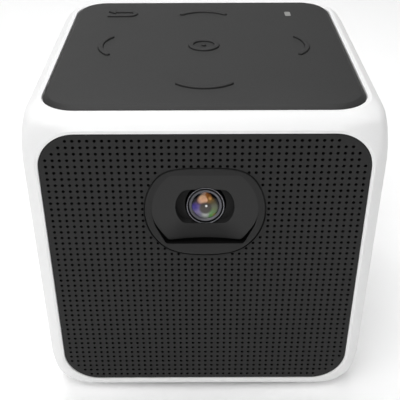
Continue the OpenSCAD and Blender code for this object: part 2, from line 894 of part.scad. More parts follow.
module heat_sink() {
    fins = 13;
    fin_t = 0.8;
    step = (eng_x1 - eng_x0 - fin_t) / (fins - 1);
    color(steel) difference() {
        union() {
            span([eng_x0, sink_y0, eng_z0], [eng_x1, sink_y0 + 2, eng_z1 - 0.4]);
            for (i = [0:fins - 1]) {
                x = eng_x0 + i * step;
                span([x, sink_y0 + 1, eng_z0], [x + fin_t, sink_y1, eng_z1 - 0.4]);
            }
        }
        translate([eng_x0 - 1, pipe_y, lens_z]) rotate([0, 90, 0])
            cylinder(d = pipe_d + 0.02, h = eng_x1 - eng_x0 + 2);
    }
}

module heat_pipe() {
    color(copper) translate([0, 0, lens_z]) {
        translate([pipe_x, 0, 0]) rod_y(pipe_d, led_y - 4, pipe_y - pipe_bend);
        translate([pipe_x + pipe_bend, pipe_y - pipe_bend, 0]) rotate(90) rotate_extrude(angle = 90)
            translate([pipe_bend, 0]) circle(d = pipe_d, $fn = 32);
        translate([pipe_x + pipe_bend, pipe_y, 0]) rotate([0, 90, 0])
            cylinder(d = pipe_d, h = eng_x1 - pipe_x - pipe_bend - 1);
    }
}

// Fan

module fan_frame() {
    color(dark) translate([0, 0, lens_z]) difference() {
        union() {
            difference() {
                upright(fan_y0, rear_in) rounded_square(fan_w, fan_w, 2);
                rod_y(duct_d, fan_y0 - 1, rear_in + 1);
            }
            for (turn = [30:120:270]) {
                rotate([0, turn, 0]) span([-1, fan_y0, 4], [1, fan_y0 + 1.4, duct_d / 2 + 0.2]);
            }
            rod_y(10.6, fan_y0, fan_y0 + 1.4);
        }
        rod_y(1.6 + 2 * run, fan_y0 - 1, fan_y0 + 2);
        at_upright_corners(fan_hole) rod_y(2.1, fan_y0 - 1, rear_in + 1);
    }
}

// Repeats a child at the four corners of a square in X and Z
module at_upright_corners(reach) {
    for (sx = [-1, 1], sz = [-1, 1]) {
        translate([sx * reach, 0, sz * reach]) children();
    }
}

module fan_rotor() {
    y0 = fan_y0 + 1.8;
    y1 = rear_in - 0.8;
    color(black) translate([0, 0, lens_z]) {
        difference() {
            rod_y(hub_d, y0, y1);
            rod_y(hub_d - 2.4, y0 + 1.6, y1 - 1.2);
        }
        rod_y(1.6, fan_y0 + 0.2, y0 + 0.5);
        intersection() {
            rod_y(rotor_d, y0 + 0.3, y1);
            for (i = [0:blade_count - 1]) {
                rotate([0, i * 360 / blade_count, 0]) translate([0, (y0 + y1) / 2, hub_d / 2 - 0.6])
                    rotate([0, 0, 38]) span([-0.4, -4.6, 0], [0.4, 4.6, rotor_d / 2]);
            }
        }
    }
}

module fan_screws() {
    color(steel) translate([0, fan_y0, lens_z]) at_upright_corners(fan_hole) rotate([-90, 0, 0])
        screw(2, fan_t + 1.2, 3.6, 0.9);
}

// Electronics

module main_board() {
    color(board_green) difference() {
        span([-main_half, main_y0, main_z0], [main_half, main_y1, main_z1]);
        for (x = [-main_boss_x, main_boss_x], y = [main_boss_ya, main_boss_yb]) {
            translate([x, y, main_z0 - 1]) cylinder(d = 1.8, h = 4);
        }
    }
}

module main_chip() {
    color(dark) level(main_z1, main_z1 + 2) rounded_square(15, 15, 0.5);
}

// Mouth of a socket: an outer sleeve, its hollow, and a contact tongue
module hdmi_socket() {
    color(steel) translate([hdmi_x, 0, main_z1]) {
        difference() {
            span([-5.7, socket_y1 - 7, 0], [5.7, socket_y1, 3.3]);
            span([-5.2, socket_y1 - 5.6, 0.45], [5.2, socket_y1 + 1, 2.85]);
        }
        span([-3.7, socket_y1 - 6, 1.4], [3.7, socket_y1 - 1, 2]);
    }
}

module usb_socket() {
    color(steel) translate([usb_x, 0, main_z1]) {
        difference() {
            span([-6.55, socket_y1 - 13.5, 0], [6.55, socket_y1, 5.7]);
            span([-6.25, socket_y1 - 12, 0.3], [6.25, socket_y1 + 1, 5.4]);
        }
        span([-5.5, socket_y1 - 12.5, 3.3], [5.5, socket_y1 - 2, 5.1]);
    }
}

module charge_socket() {
    color(steel) translate([charge_x, 0, main_z1 + 1.6]) {
        difference() {
            upright(socket_y1 - 7.3, socket_y1) slot(8.9, 3.2);
            upright(socket_y1 - 6.2, socket_y1 + 1) slot(8.3, 2.6);
        }
        span([-3.3, socket_y1 - 6.6, -0.35], [3.3, socket_y1 - 1, 0.35]);
    }
}

module audio_jack() {
    color(dark) translate([jack_x, 0, main_z1]) difference() {
        union() {
            span([-3, socket_y1 - 11.5, 0], [3, socket_y1, 5]);
            translate([0, 0, 2.5]) rod_y(5, socket_y1 - 0.5, rear_out);
        }
        translate([0, 0, 2.5]) rod_y(jack_bore, socket_y1 - 10, rear_out + 1);
    }
}

module power_switch() {
    room = (knob_w + power_travel) / 2 + 0.3;
    color(steel) translate([switch_x, 0, main_z0]) difference() {
        span([-5, socket_y1 - 5, -4.4], [5, socket_y1, 0]);
        span([-room, socket_y1 - 3.6, -3.4], [room, socket_y1 + 1, -1]);
    }
}

module power_knob() {
    x = switch_x - power_travel / 2;
    color(black)
        span([x - knob_w / 2, socket_y1 - 3.3, main_z0 - 3.1],
            [x + knob_w / 2, rear_out + 0.9, main_z0 - 1.3]);
}

module main_board_screws() {
    color(steel) for (x = [-main_boss_x, main_boss_x], y = [main_boss_ya, main_boss_yb]) {
        translate([x, y, main_z0]) screw(1.6, 4.6, 3, 0.8);
    }
}

module battery_pack() {
    color("#2f5f8f") level(tray_z1, cell_z1) translate([0, (cell_y0 + cell_y1) / 2])
        rounded_square(2 * cell_half, cell_y1 - cell_y0, 3);
}

module speaker_gasket() {
    color(dark) translate([0, 0, speaker_z]) difference() {
        rod_y(speaker_w - 1, panel_y1, panel_y1 + gasket_t);
        rod_y(speaker_w - 4, panel_y1 - 1, panel_y1 + 2);
    }
}

module speaker_frame() {
    y = panel_y1 + gasket_t;
    color(dark) translate([0, 0, speaker_z]) difference() {
        union() {
            upright(y, y + 1.5) rounded_square(speaker_w, speaker_w, 4);
            rod_y(speaker_w - 3, y + 1, y + 6.5);
            rod_y(speaker_w - 13, y + 6, y + 11);
        }
        rod_y(speaker_w - 4.6, y - 1, y + 5.5);
        rod_y(8.4, y + 5, y + 9.5);
    }
}

module speaker_cone() {
    y = panel_y1 + gasket_t;
    rim = speaker_w / 2 - 2.3;
    color(black) translate([0, y, speaker_z]) rotate([-90, 0, 0]) rotate_extrude() polygon([
        [0, 2.6], [4, 3.2], [rim - 1.3, 0.9], [rim, 0.9], [rim, 1.4], [rim - 1.2, 1.4],
        [4.1, 3.8], [4.1, 6.2], [3.4, 6.2], [3.4, 3.9], [0, 3.2]
    ]);
}

module ir_window() {
    color(dark) translate([ir_x, 0, ir_z]) {
        upright(rear_in - 0.4, rear_out) rounded_square(6.96, 3.96, 0.78);
        upright(rear_in - 1, rear_in) rounded_square(9, 6, 1);
    }
}

main_shell();
front_panel();
lens_shroud();
top_pad();
key_back();
key_up();
key_left();
key_ok();
key_right();
key_down();
light_guide();
rear_cover();
base_cover();
feet();
tripod_bush();
base_screws();
rear_screws();
chassis();
key_board();
key_switches();
status_led();
key_board_screws();
engine_housing();
engine_cover();
engine_screws();
lens_barrel();
front_lens();
rear_lens();
lens_ring();
focus_ring();
focus_clip();
focus_wheel();
focus_axle();
prism();
dichroic_plates();
collimators();
led_red();
led_green();
led_blue();
dmd_board();
dmd_chip();
heat_sink();
heat_pipe();
fan_frame();
fan_rotor();
fan_screws();
main_board();
main_chip();
hdmi_socket();
usb_socket();
charge_socket();
audio_jack();
power_switch();
power_knob();
main_board_screws();
battery_pack();
speaker_gasket();
speaker_frame();
speaker_cone();
ir_window();
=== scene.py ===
# %% [markdown]
# A pocket cube projector, dressed for its portrait.
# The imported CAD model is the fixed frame: every piece below is drawn in millimetres in that frame and rides
# on one of its bodies. Where the CAD solid already has the right shape it stays and only gets a finish.
# Where moulded edges, a perforation or a coated lens matter to the eye, a new surface takes its place.

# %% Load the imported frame
import math

import bmesh
import bpy
import numpy as np
from mathutils import Matrix, Vector
from mathutils.geometry import delaunay_2d_cdt


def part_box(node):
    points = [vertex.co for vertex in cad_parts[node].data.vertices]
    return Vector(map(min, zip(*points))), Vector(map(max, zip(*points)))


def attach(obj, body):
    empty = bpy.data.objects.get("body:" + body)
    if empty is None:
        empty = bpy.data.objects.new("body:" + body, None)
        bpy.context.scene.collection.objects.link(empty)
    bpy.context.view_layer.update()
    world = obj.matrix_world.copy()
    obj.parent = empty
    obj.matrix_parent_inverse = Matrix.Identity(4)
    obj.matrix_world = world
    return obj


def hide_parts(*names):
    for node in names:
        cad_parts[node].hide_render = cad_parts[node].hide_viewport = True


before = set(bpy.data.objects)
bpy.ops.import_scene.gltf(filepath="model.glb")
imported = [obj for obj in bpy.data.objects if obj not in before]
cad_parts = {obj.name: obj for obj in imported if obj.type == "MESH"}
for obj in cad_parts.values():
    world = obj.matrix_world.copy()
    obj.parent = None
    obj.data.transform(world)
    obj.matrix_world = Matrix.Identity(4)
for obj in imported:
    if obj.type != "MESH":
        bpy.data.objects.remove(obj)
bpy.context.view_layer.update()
MM = 0.001


def node_box(node):
    """Lowest and highest corner of a CAD node, in millimetres."""
    low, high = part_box(node)
    return np.array(low) / MM, np.array(high) / MM


# %% [markdown]
# The camera stands where the photo was taken from. Its place and turn were solved from the straight edges of
# the front panel and the key pad, so the picture's perspective is a measured one and not a guess.
# A focal length in pixels becomes millimetres by the ratio of the sensor's width to the picture's width.

# %% Camera
CAMERA_PLACE = (-0.89, -145.85, 123.29)
CAMERA_YAW = math.radians(-0.014)
CAMERA_PITCH = math.radians(32.81)
CAMERA_ROLL = math.radians(0.21)
PICTURE_WIDTH = 400
FOCAL_PIXELS = 724.7
SENSOR_WIDTH = 36.0
NEAREST_SEEN = 10


def camera_turn(yaw, pitch, roll):
    """Columns right, up and back of a camera whose view line goes yaw from +Y and pitch below level.
    The camera then rolls about that line."""
    ahead = np.array([math.sin(yaw) * math.cos(pitch), math.cos(yaw) * math.cos(pitch), -math.sin(pitch)])
    right = np.array([math.cos(yaw), -math.sin(yaw), 0.0])
    down = np.cross(ahead, right)
    rolled_right = math.cos(roll) * right + math.sin(roll) * down
    rolled_down = math.cos(roll) * down - math.sin(roll) * right
    return Matrix(np.column_stack([rolled_right, -rolled_down, -ahead]).tolist()).to_4x4()


lens_data = bpy.data.cameras.new("photo_camera")
lens_data.sensor_width = SENSOR_WIDTH
lens_data.lens = FOCAL_PIXELS / PICTURE_WIDTH * SENSOR_WIDTH
lens_data.clip_start = NEAREST_SEEN * MM
camera = bpy.data.objects.new("photo_camera", lens_data)
camera.matrix_world = Matrix.Translation(Vector(CAMERA_PLACE) * MM) @ camera_turn(
    CAMERA_YAW, CAMERA_PITCH, CAMERA_ROLL
)
bpy.context.scene.collection.objects.link(camera)
bpy.context.scene.camera = camera
bpy.context.scene.view_settings.view_transform = "Standard"
print("Focal length in mm:", round(lens_data.lens, 2))

# %% [markdown]
# A material is a small tree of nodes. One helper adds a node, sets its values and joins its links, and one
# function turns an sRGB hex colour, as a paint program shows it, into the linear values that light uses.
# Every pattern is measured on Object coordinates, so a grain has one real size in millimetres on all pieces.
# Most of this object is moulded, and one recipe serves all its plastics and rubbers: only the tones, the
# gloss and the mould's grain differ. A real mould's grain is finer than the picture can show, so it is drawn
# as coarse as it needs to be.

# %% Material helpers
DRIFT_SIZE = 14
LEAST_TONE = 0.25
GRAIN_HEIGHT = 0.04
GLOSS_SPREAD = 0.05


def linear(code):
    """sRGB hex to linear colour: c / 12.92 up to 0.04045, and ((c + 0.055) / 1.055) ** 2.4 above."""
    c = np.array([int(code[i:i + 2], 16) for i in (1, 3, 5)]) / 255
    c = np.where(c <= 0.04045, c / 12.92, ((c + 0.055) / 1.055) ** 2.4)
    return (*c.tolist(), 1.0)


def per(size):
    """Texture scale at which one feature of a pattern is about size millimetres wide."""
    return 1 / (size * MM)


def add(tree, kind, values=None, **settings):
    """Adds a node, sets its settings, and fills each input with a number or a link from another node."""
    made = tree.nodes.new(kind)
    for name, value in settings.items():
        setattr(made, name, value)
    for name, value in (values or {}).items():
        if isinstance(value, bpy.types.NodeSocket):
            tree.links.new(value, made.inputs[name])
        else:
            made.inputs[name].default_value = value
    return made


def new_material(name):
    """An empty node material and the Object coordinates that its patterns read."""
    material = bpy.data.materials.new(name)
    material.use_nodes = True
    material.node_tree.nodes.clear()
    place = add(material.node_tree, "ShaderNodeTexCoord").outputs["Object"]
    return material, material.node_tree, place


def moulded(name, dark, light, roughness, grain, relief, specular=0.5, coat=0.0):
    """A moulded plastic or rubber: two close tones in slow drifts, and the fine grain of an eroded mould.
    The eye sees an even colour that breaks up a little up close, with a soft edge to every highlight."""
    material, tree, place = new_material(name)
    drift = add(tree, "ShaderNodeTexNoise", {"Vector": place, "Scale": per(DRIFT_SIZE), "Detail": 2.0})
    speck = add(tree, "ShaderNodeTexNoise", {"Vector": place, "Scale": per(grain), "Detail": 3.0})
    both = add(tree, "ShaderNodeMath", {0: drift.outputs[0], 1: speck.outputs[0], 2: LEAST_TONE},
               operation="MULTIPLY_ADD")
    tone = add(tree, "ShaderNodeMix", {"Factor": both.outputs[0], "A": linear(dark), "B": linear(light)},
               data_type="RGBA")
    gloss = add(tree, "ShaderNodeMapRange", {
        "Value": speck.outputs[0], "From Min": 0.3, "From Max": 0.7,
        "To Min": roughness - GLOSS_SPREAD, "To Max": roughness + GLOSS_SPREAD})
    dent = add(tree, "ShaderNodeBump", {
        "Height": speck.outputs[0], "Strength": relief, "Distance": GRAIN_HEIGHT * MM})
    surface = add(tree, "ShaderNodeBsdfPrincipled", {
        "Base Color": tone.outputs["Result"], "Roughness": gloss.outputs[0], "Normal": dent.outputs[0],
        "Specular IOR Level": specular, "Coat Weight": coat, "Coat Roughness": 0.15})
    add(tree, "ShaderNodeOutputMaterial", {"Surface": surface.outputs[0]})
    return material


print("Grain of 0.2 mm as a texture scale:", per(0.2))

# %% [markdown]
# Small helpers make every new piece. A surface is a stack of loops, and quads join each loop to the next.
# A flat region with holes can't be one grid, so it is split into triangles between its outlines instead.
# A part is its points in millimetres, its faces and the number of its material in the piece's list.
# Parts that share points are welded, and a closed skin then has its faces turned outwards.

# %% Mesh helpers
WELD = 0.002
CUT_TOLERANCE = 1e-5
TRIANGLES_INSIDE = 1


def loft(rows, number=0):
    """A part of quads between a stack of closed loops: rows is an array of loops by points by xyz."""
    rows = np.asarray(rows, float)
    count, points = rows.shape[:2]
    index = np.arange(count * points).reshape(count, points)
    low, high = index[:-1], index[1:]
    quads = np.stack([low, np.roll(low, -1, 1), np.roll(high, -1, 1), high], -1)
    return rows.reshape(-1, 3), quads.reshape(-1, 4), number


def lid(loop):
    """A part of one flat face over a loop, in the piece's first material."""
    return np.asarray(loop, float), np.arange(len(loop))[None], 0


def quarter_round(steps):
    """Pairs (across, down) over an edge of radius 1: across is 1 - sin t, and down is 1 - cos t."""
    turn = np.linspace(0, math.pi / 2, steps)
    return np.column_stack([1 - np.sin(turn), 1 - np.cos(turn)])


def signed_area(loop):
    """Area of a loop by the shoelace rule, positive when it runs anticlockwise."""
    x, y = np.asarray(loop).T
    return (x * np.roll(y, -1) - np.roll(x, -1) * y).sum() / 2


def split_region(outline, holes):
    """Triangles of a flat region cut along its outline and its holes.
    Returns points, triangles, and for each triangle 0 or the number of the hole that it lies in."""
    loops = [loop if signed_area(loop) > 0 else loop[::-1] for loop in (outline, *holes)]
    starts = np.cumsum([0] + [len(loop) for loop in loops])
    rings = [np.arange(a, b).tolist() for a, b in zip(starts[:-1], starts[1:])]
    points = [Vector(p) for p in np.concatenate(loops).tolist()]
    made = delaunay_2d_cdt(points, [], rings, TRIANGLES_INSIDE, CUT_TOLERANCE)
    inside = np.array([max(ids, default=-1) for ids in made[5]])
    keep = inside >= 0
    return np.array([tuple(p) for p in made[0]]), np.array(made[2])[keep], inside[keep]


def make_piece(name, parts, body, materials, replaces, crease=32):
    """Welds parts into one mesh, with a crease where faces turn by more than so many degrees.
    The piece then rides on its body, in place of the CAD nodes that it replaces."""
    starts = np.cumsum([0] + [len(points) for points, _, _ in parts])
    faces = []
    for (_, part_faces, _), start in zip(parts, starts):
        faces += (np.asarray(part_faces) + start).tolist()
    numbers = np.concatenate([np.full(len(part_faces), number) for _, part_faces, number in parts])
    mesh = bpy.data.meshes.new(name)
    mesh.from_pydata((np.concatenate([points for points, _, _ in parts]) * MM).tolist(), [], faces)
    mesh.polygons.foreach_set("material_index", numbers.astype(np.int32))
    skin = bmesh.new()
    skin.from_mesh(mesh)
    bmesh.ops.remove_doubles(skin, verts=skin.verts, dist=WELD * MM)
    bmesh.ops.recalc_face_normals(skin, faces=skin.faces)
    open_edges = sum(not edge.is_manifold for edge in skin.edges)
    skin.to_mesh(mesh)
    skin.free()
    mesh.shade_smooth()
    mesh.set_sharp_from_angle(angle=math.radians(crease))
    for material in materials:
        mesh.materials.append(material)
    made = bpy.data.objects.new(name, mesh)
    bpy.context.scene.collection.objects.link(made)
    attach(made, body)
    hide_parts(*replaces)
    print(name, "faces:", len(mesh.polygons), "edges not closed:", open_edges)


print("Points closer than this are welded, in mm:", WELD)

# %% [markdown]
# The object stands on a light table: a white acrylic sheet that glows faintly from below near the object and
# more strongly far away, where it curves up like a studio sweep, so that it makes a pale background from
# all sides. Under the object's front edge the glow is taken out in a soft oval, which paints the contact
# shadow there darker.

# %% Floor
FLOOR_RADIUS = 3000
FLOOR_DROP = 0.02
FLOOR_STEPS = 96
SWEEP_START = 1200
SWEEP_RISE = 900
SWEEP_CIRCLES = 12
INNER_CIRCLES = (600, 150)
FLOOR_DRIFT = 300
FLOOR_GLOW = 0.15
FAR_GLOW = 0.42
GLOW_RANGE = (260, 1000)
# Ellipse under the front edge where the glow fades out: a painted contact shadow.
SHADOW_MASK_MIDDLE = (0, -26, 0)
SHADOW_MASK_REACH = (40, 11, 1000)
SHADOW_MASK_FADE = (0.45, 1.0)


def opal_sheet():
    """Cast opal acrylic: white and matt, with a faint drift in tone and a glow from below.
    The glow grows with the distance from the middle, and fades out inside an ellipse under the front edge:
    a painted contact shadow."""
    material, tree, place = new_material("cast_opal_acrylic_painted_shadow")
    away = add(tree, "ShaderNodeVectorMath", {0: place}, operation="LENGTH")
    glow = add(tree, "ShaderNodeMapRange", {
        "Value": away.outputs["Value"], "From Min": GLOW_RANGE[0] * MM, "From Max": GLOW_RANGE[1] * MM,
        "To Min": FLOOR_GLOW, "To Max": FAR_GLOW}, interpolation_type="SMOOTHSTEP")
    # Painted contact shadow: the glow is multiplied by a share that is zero inside the ellipse.
    near = add(tree, "ShaderNodeMapping", {
        "Vector": place, "Location": tuple(v * MM for v in SHADOW_MASK_MIDDLE),
        "Scale": tuple(v * MM for v in SHADOW_MASK_REACH)}, vector_type="TEXTURE")
    reach = add(tree, "ShaderNodeVectorMath", {0: near.outputs[0]}, operation="LENGTH")
    share = add(tree, "ShaderNodeMapRange", {
        "Value": reach.outputs["Value"], "From Min": SHADOW_MASK_FADE[0], "From Max": SHADOW_MASK_FADE[1]},
        interpolation_type="SMOOTHSTEP")
    light = add(tree, "ShaderNodeMath", {0: glow.outputs[0], 1: share.outputs[0]}, operation="MULTIPLY")
    drift = add(tree, "ShaderNodeTexNoise", {"Vector": place, "Scale": per(FLOOR_DRIFT)})
    tone = add(tree, "ShaderNodeMix", {
        "Factor": drift.outputs[0], "A": linear("#f7f7f7"), "B": linear("#fbfbfb")}, data_type="RGBA")
    surface = add(tree, "ShaderNodeBsdfPrincipled", {
        "Base Color": tone.outputs["Result"], "Roughness": 0.9, "Specular IOR Level": 0.1,
        "Emission Color": tone.outputs["Result"], "Emission Strength": light.outputs[0]})
    add(tree, "ShaderNodeOutputMaterial", {"Surface": surface.outputs[0]})
    return material


def floor_rows():
    """Circles from the rim to the middle: flat near the object, then rising with the distance squared."""
    radius = np.concatenate([np.linspace(FLOOR_RADIUS, SWEEP_START, SWEEP_CIRCLES), INNER_CIRCLES])
    share = np.clip((radius - SWEEP_START) / (FLOOR_RADIUS - SWEEP_START), 0, 1)
    turn = np.linspace(0, 2 * math.pi, FLOOR_STEPS, endpoint=False)
    height = np.broadcast_to((SWEEP_RISE * share ** 2 - FLOOR_DROP)[:, None], (len(radius), len(turn)))
    return np.stack([np.outer(radius, np.cos(turn)), np.outer(radius, np.sin(turn)), height], -1)


floor_points, floor_quads, _ = loft(floor_rows())
middle = np.arange(len(floor_points))[-FLOOR_STEPS:].tolist()
floor_mesh = bpy.data.meshes.new("floor")
floor_mesh.from_pydata((floor_points * MM).tolist(), [], floor_quads.tolist() + [middle])
floor_mesh.shade_smooth()
floor_mesh.materials.append(opal_sheet())
floor = bpy.data.objects.new("floor", floor_mesh)
bpy.context.scene.collection.objects.link(floor)
print("Floor faces:", len(floor_mesh.polygons))

# %% [markdown]
# A wide soft light hangs in front at the left, another over the top, and weaker ones stand at the right and
# behind, in a room that is nearly dark. Their powers were solved from tones measured in the photo. They are
# area lights, because a point light would draw hard shadows that a photo under soft boxes doesn't have.

# %% Lights
WORLD_STRENGTH = 0.012


def softbox(name, place, target, size, power):
    """A square area light at a place in mm, turned to its target."""
    light = bpy.data.lights.new(name, "AREA")
    light.size = size * MM
    light.energy = power
    lamp = bpy.data.objects.new(name, light)
    lamp.location = Vector(place) * MM
    lamp.rotation_euler = (Vector(target) - Vector(place)).to_track_quat("-Z", "Y").to_euler()
    bpy.context.scene.collection.objects.link(lamp)


world = bpy.data.worlds.new("dim_white_room")
world.use_nodes = True
world.node_tree.nodes["Background"].inputs["Color"].default_value = linear("#ffffff")
world.node_tree.nodes["Background"].inputs["Strength"].default_value = WORLD_STRENGTH
bpy.context.scene.world = world

softbox("front_light", place=(-143, -307, 543), target=(0, 0, 30), size=500, power=2.64)
softbox("top_light", place=(-40, 160, 560), target=(0, 0, 40), size=400, power=1.7)
softbox("right_light", place=(420, 40, 420), target=(0, 0, 30), size=400, power=0.26)
softbox("back_light", place=(-220, 330, 420), target=(0, 0, 40), size=400, power=0.32)

# %% [markdown]
# The white case is one moulding: a cube whose edges are soft bevels that widen to round corners, with square
# recesses for the front panel, the key pad, the rear cover and the base cover. Six box faces cut with
# modifiers would leave facets, so each cube face is a stack of rounded-square loops, from the cube's edges,
# where faces meet, in to the land and the recess. All loops follow the same stations along a cube's edge, so
# neighbours meet point to point. A loop is drawn flat, and then put on its face at a depth.

# %% Case outlines
shell_low, shell_high = node_box("main_shell")
pad_low, pad_high = node_box("top_pad")
HALF = (shell_high[0] - shell_low[0]) / 2
MID_Z = (shell_high[2] + shell_low[2]) / 2
FACE_REACH = pad_high[0]
FACE_RADIUS = 7.0
ARC_CENTRE = FACE_REACH - FACE_RADIUS
CORNER_STEPS = 10
SIDE_STEPS = 8
# Quarter turns that carry the right side of a loop to its right, upper, left and lower side.
QUARTERS = [np.array([[c, -s], [s, c]]) for c, s in ((1, 0), (0, 1), (-1, 0), (0, -1))]
# The directions right, up and out of each face, as it is seen from outside.
FACES = {
    "front": ((1, 0, 0), (0, 0, 1), (0, -1, 0)),
    "rear": ((-1, 0, 0), (0, 0, 1), (0, 1, 0)),
    "right": ((0, 1, 0), (0, 0, 1), (1, 0, 0)),
    "left": ((0, -1, 0), (0, 0, 1), (-1, 0, 0)),
    "top": ((1, 0, 0), (0, 1, 0), (0, 0, 1)),
    "base": ((1, 0, 0), (0, -1, 0), (0, 0, -1)),
}

straight = ARC_CENTRE * (2 * np.arange(SIDE_STEPS) / SIDE_STEPS - 1)
climb = (HALF - ARC_CENTRE) * np.arange(CORNER_STEPS) / CORNER_STEPS
EDGE_STATIONS = np.concatenate([climb - HALF, straight, climb + ARC_CENTRE])
SIGN = np.sign(EDGE_STATIONS)
PAST_SIDE = np.clip((np.abs(EDGE_STATIONS) - ARC_CENTRE) / (HALF - ARC_CENTRE), 0, 1)


def around(across, along):
    """Repeats the right side of a square loop on all four sides by quarter turns."""
    one = np.column_stack([across, along])
    return np.concatenate([one @ turn.T for turn in QUARTERS])


def square_loop(reach, radius):
    """Rounded square: straight sides, and arcs whose angle follows the stations along the cube's edge."""
    centre = reach - radius
    angle = PAST_SIDE * math.pi / 4
    side = np.abs(EDGE_STATIONS) * centre / ARC_CENTRE
    along = np.where(PAST_SIDE > 0, centre + radius * np.sin(angle), side)
    return around(centre + radius * np.cos(angle), SIGN * along)


def face_loop(grow):
    """Outline of the square panels, grown all round."""
    return square_loop(FACE_REACH + grow, FACE_RADIUS + grow)


def plain_square(reach):
    """Sharp square through the same stations."""
    return around(np.full(len(EDGE_STATIONS), reach), EDGE_STATIONS * reach / HALF)


def on_face(face, flat, depth):
    """Puts flat face points at a depth below the cube's side into the frame."""
    right, up, out = (np.array(axis, float) for axis in FACES[face])
    flat = np.asarray(flat, float)
    height = HALF - np.broadcast_to(np.asarray(depth, float), flat.shape[:-1])
    return flat[..., :1] * right + flat[..., 1:] * up + height[..., None] * out + (0, 0, MID_Z)


def stack(face, steps):
    """Loops on a face, from pairs of a flat loop and its depth."""
    return [on_face(face, flat, depth) for flat, depth in steps]


print("Half width of the case in mm:", round(HALF, 2), "points in a loop:", 4 * len(EDGE_STATIONS))

# %% [markdown]
# The bevel is what the light draws on a white cube: it leaves the flat land round each face at a crisp line
# and rolls over to the next face. A bevel modifier has one width everywhere, and this one is narrow along the
# sides and grows to the corners, so it is a quadratic curve at each station.

# %% Case bevels
BEVEL_WIDTH = 2.45
EDGE_INSET = 1.12
BASE_INSET = 0.88
CORNER_INSET = 2.2
BEVEL_BULGE = 0.5
BEVEL_ROWS = 9
LOWER_SIDE = 3


def rim_rows(face):
    """Loops from the cube's edges over the bevel to the flat land, as quadratic curves of three points each.
    One lies on the land, one on the mirror line between two faces, sunk by an inset that grows to the corner,
    and one between them, straight in from the mirror line so that both faces meet without a kink.
    The edges round the base have a smaller inset, so they are crisper than the rest."""
    span = HALF - CORNER_INSET - ARC_CENTRE
    along = np.where(PAST_SIDE > 0, ARC_CENTRE + span * PAST_SIDE, np.abs(EDGE_STATIONS))
    turn = PAST_SIDE ** 2
    insets, edges, middles = [], [], []
    for side, quarter_turn in enumerate(QUARTERS):
        low = face == "base" or (face != "top" and side == LOWER_SIDE)
        least = BASE_INSET if low else EDGE_INSET
        power = span / (2 * (CORNER_INSET - least))
        inset = least + (CORNER_INSET - least) * PAST_SIDE ** power
        pull = BEVEL_BULGE * inset / (1 + turn)
        edge = np.column_stack([HALF - inset, SIGN * along])
        middle = np.column_stack([HALF - inset - pull, SIGN * (along - turn * pull)])
        insets.append(inset)
        edges.append(edge @ quarter_turn.T)
        middles.append(middle @ quarter_turn.T)
    inset, edge, middle = (np.concatenate(part) for part in (insets, edges, middles))
    land = square_loop(HALF - BEVEL_WIDTH, HALF - BEVEL_WIDTH - ARC_CENTRE)
    steps = []
    for t in np.linspace(1, 0, BEVEL_ROWS):
        flat = t ** 2 * edge + 2 * t * (1 - t) * middle + (1 - t) ** 2 * land
        steps.append((flat, inset * (t ** 2 + 2 * t * (1 - t) * (1 - BEVEL_BULGE))))
    return stack(face, steps)


print("Loops in a bevel:", len(rim_rows("front")))

# %% [markdown]
# Front, back and base each have a seat for their panel or cover behind a slightly rounded lip, and a ledge
# that carries it. The left side is plain. The right side has the slot that the focus wheel looks out of, just
# long enough for the wheel where it passes through the wall. A boolean cut would leave its rim without a lip,
# so the slot is one more stack of loops.

# %% Case openings
WALL = 2.2
SEAT_DEPTH = 1.5
SLIP = 0.1
FRONT_SLIP = 0.12
LIP = 0.16
LIP_ROWS = 7
LEDGE = 1.5
INNER_SQUARE = plain_square(HALF - WALL)
WHEEL_ROOM = 0.5
SLOT_ROOM = 0.4
SLOT_ACROSS = 2.6
SLOT_RADIUS = 0.6
SLOT_ALONG = -21.0
wheel_low, wheel_high = node_box("focus_wheel")
wheel_reach = (wheel_high[2] - wheel_low[2]) / 2
wheel_x, _, wheel_z = (wheel_low + wheel_high) / 2
SLOT_UP = math.sqrt((wheel_reach + WHEEL_ROOM) ** 2 - (HALF - WALL - wheel_x) ** 2) + SLOT_ROOM
SLOT_MIDDLE = (SLOT_ALONG, wheel_z - MID_Z)


def lip_rows(face, loop_at, floor):
    """Loops over a rounded lip and down a wall: loop_at gives the outline grown by an amount."""
    steps = [(loop_at(across), down) for across, down in LIP * quarter_round(LIP_ROWS)]
    return stack(face, steps + [(loop_at(0), floor)])


def open_face(face, slip=SLIP):
    """A face with a seat and a ledge that opens into the case."""
    rows = rim_rows(face) + lip_rows(face, lambda grow: face_loop(slip + grow), SEAT_DEPTH)
    ledge = face_loop(-LEDGE)
    return [loft(rows + stack(face, [(ledge, SEAT_DEPTH), (ledge, WALL), (INNER_SQUARE, WALL)]))]


def blank_face(face):
    """A plain face, closed outside and inside."""
    rows = rim_rows(face)
    return [loft(rows), lid(rows[-1]), lid(on_face(face, INNER_SQUARE, WALL))]


def wheel_slot(grow):
    """Rectangle of the focus wheel's slot with round corners, through the same stations as the face."""
    loop = square_loop(HALF, SLOT_RADIUS) / HALF
    return loop * (SLOT_ACROSS + grow, SLOT_UP + grow) + SLOT_MIDDLE


def slotted_face(face):
    """The right face, with the slot that the focus wheel looks out of."""
    rows = rim_rows(face) + lip_rows(face, wheel_slot, WALL)
    return [loft(rows + [on_face(face, INNER_SQUARE, WALL)])]


print("Focus wheel's slot in mm:", 2 * SLOT_ACROSS, "by", round(2 * SLOT_UP, 2))

# %% [markdown]
# The top has a shallow recess for the soft pad. Its floor is a deck with a well for each key's flange and one
# for the light guide. The wells are holes in a flat region, so the deck is split into triangles round them.

# %% Case top
PAD_DEPTH = shell_high[2] - pad_low[2]
PAD_SLIP = -0.08
WELL_GAP = 0.3
FLANGE_CORNER = 1.5
ARC_POINTS = 6
LAMP_SIZE = (1.3, 2.9)
LAMP_CORNER = 0.35
LAMP_SLIP = 0.05


def plan_box(node):
    """Middle and size of a CAD node, seen from above."""
    low, high = node_box(node)
    return (low + high)[:2] / 2, (high - low)[:2]


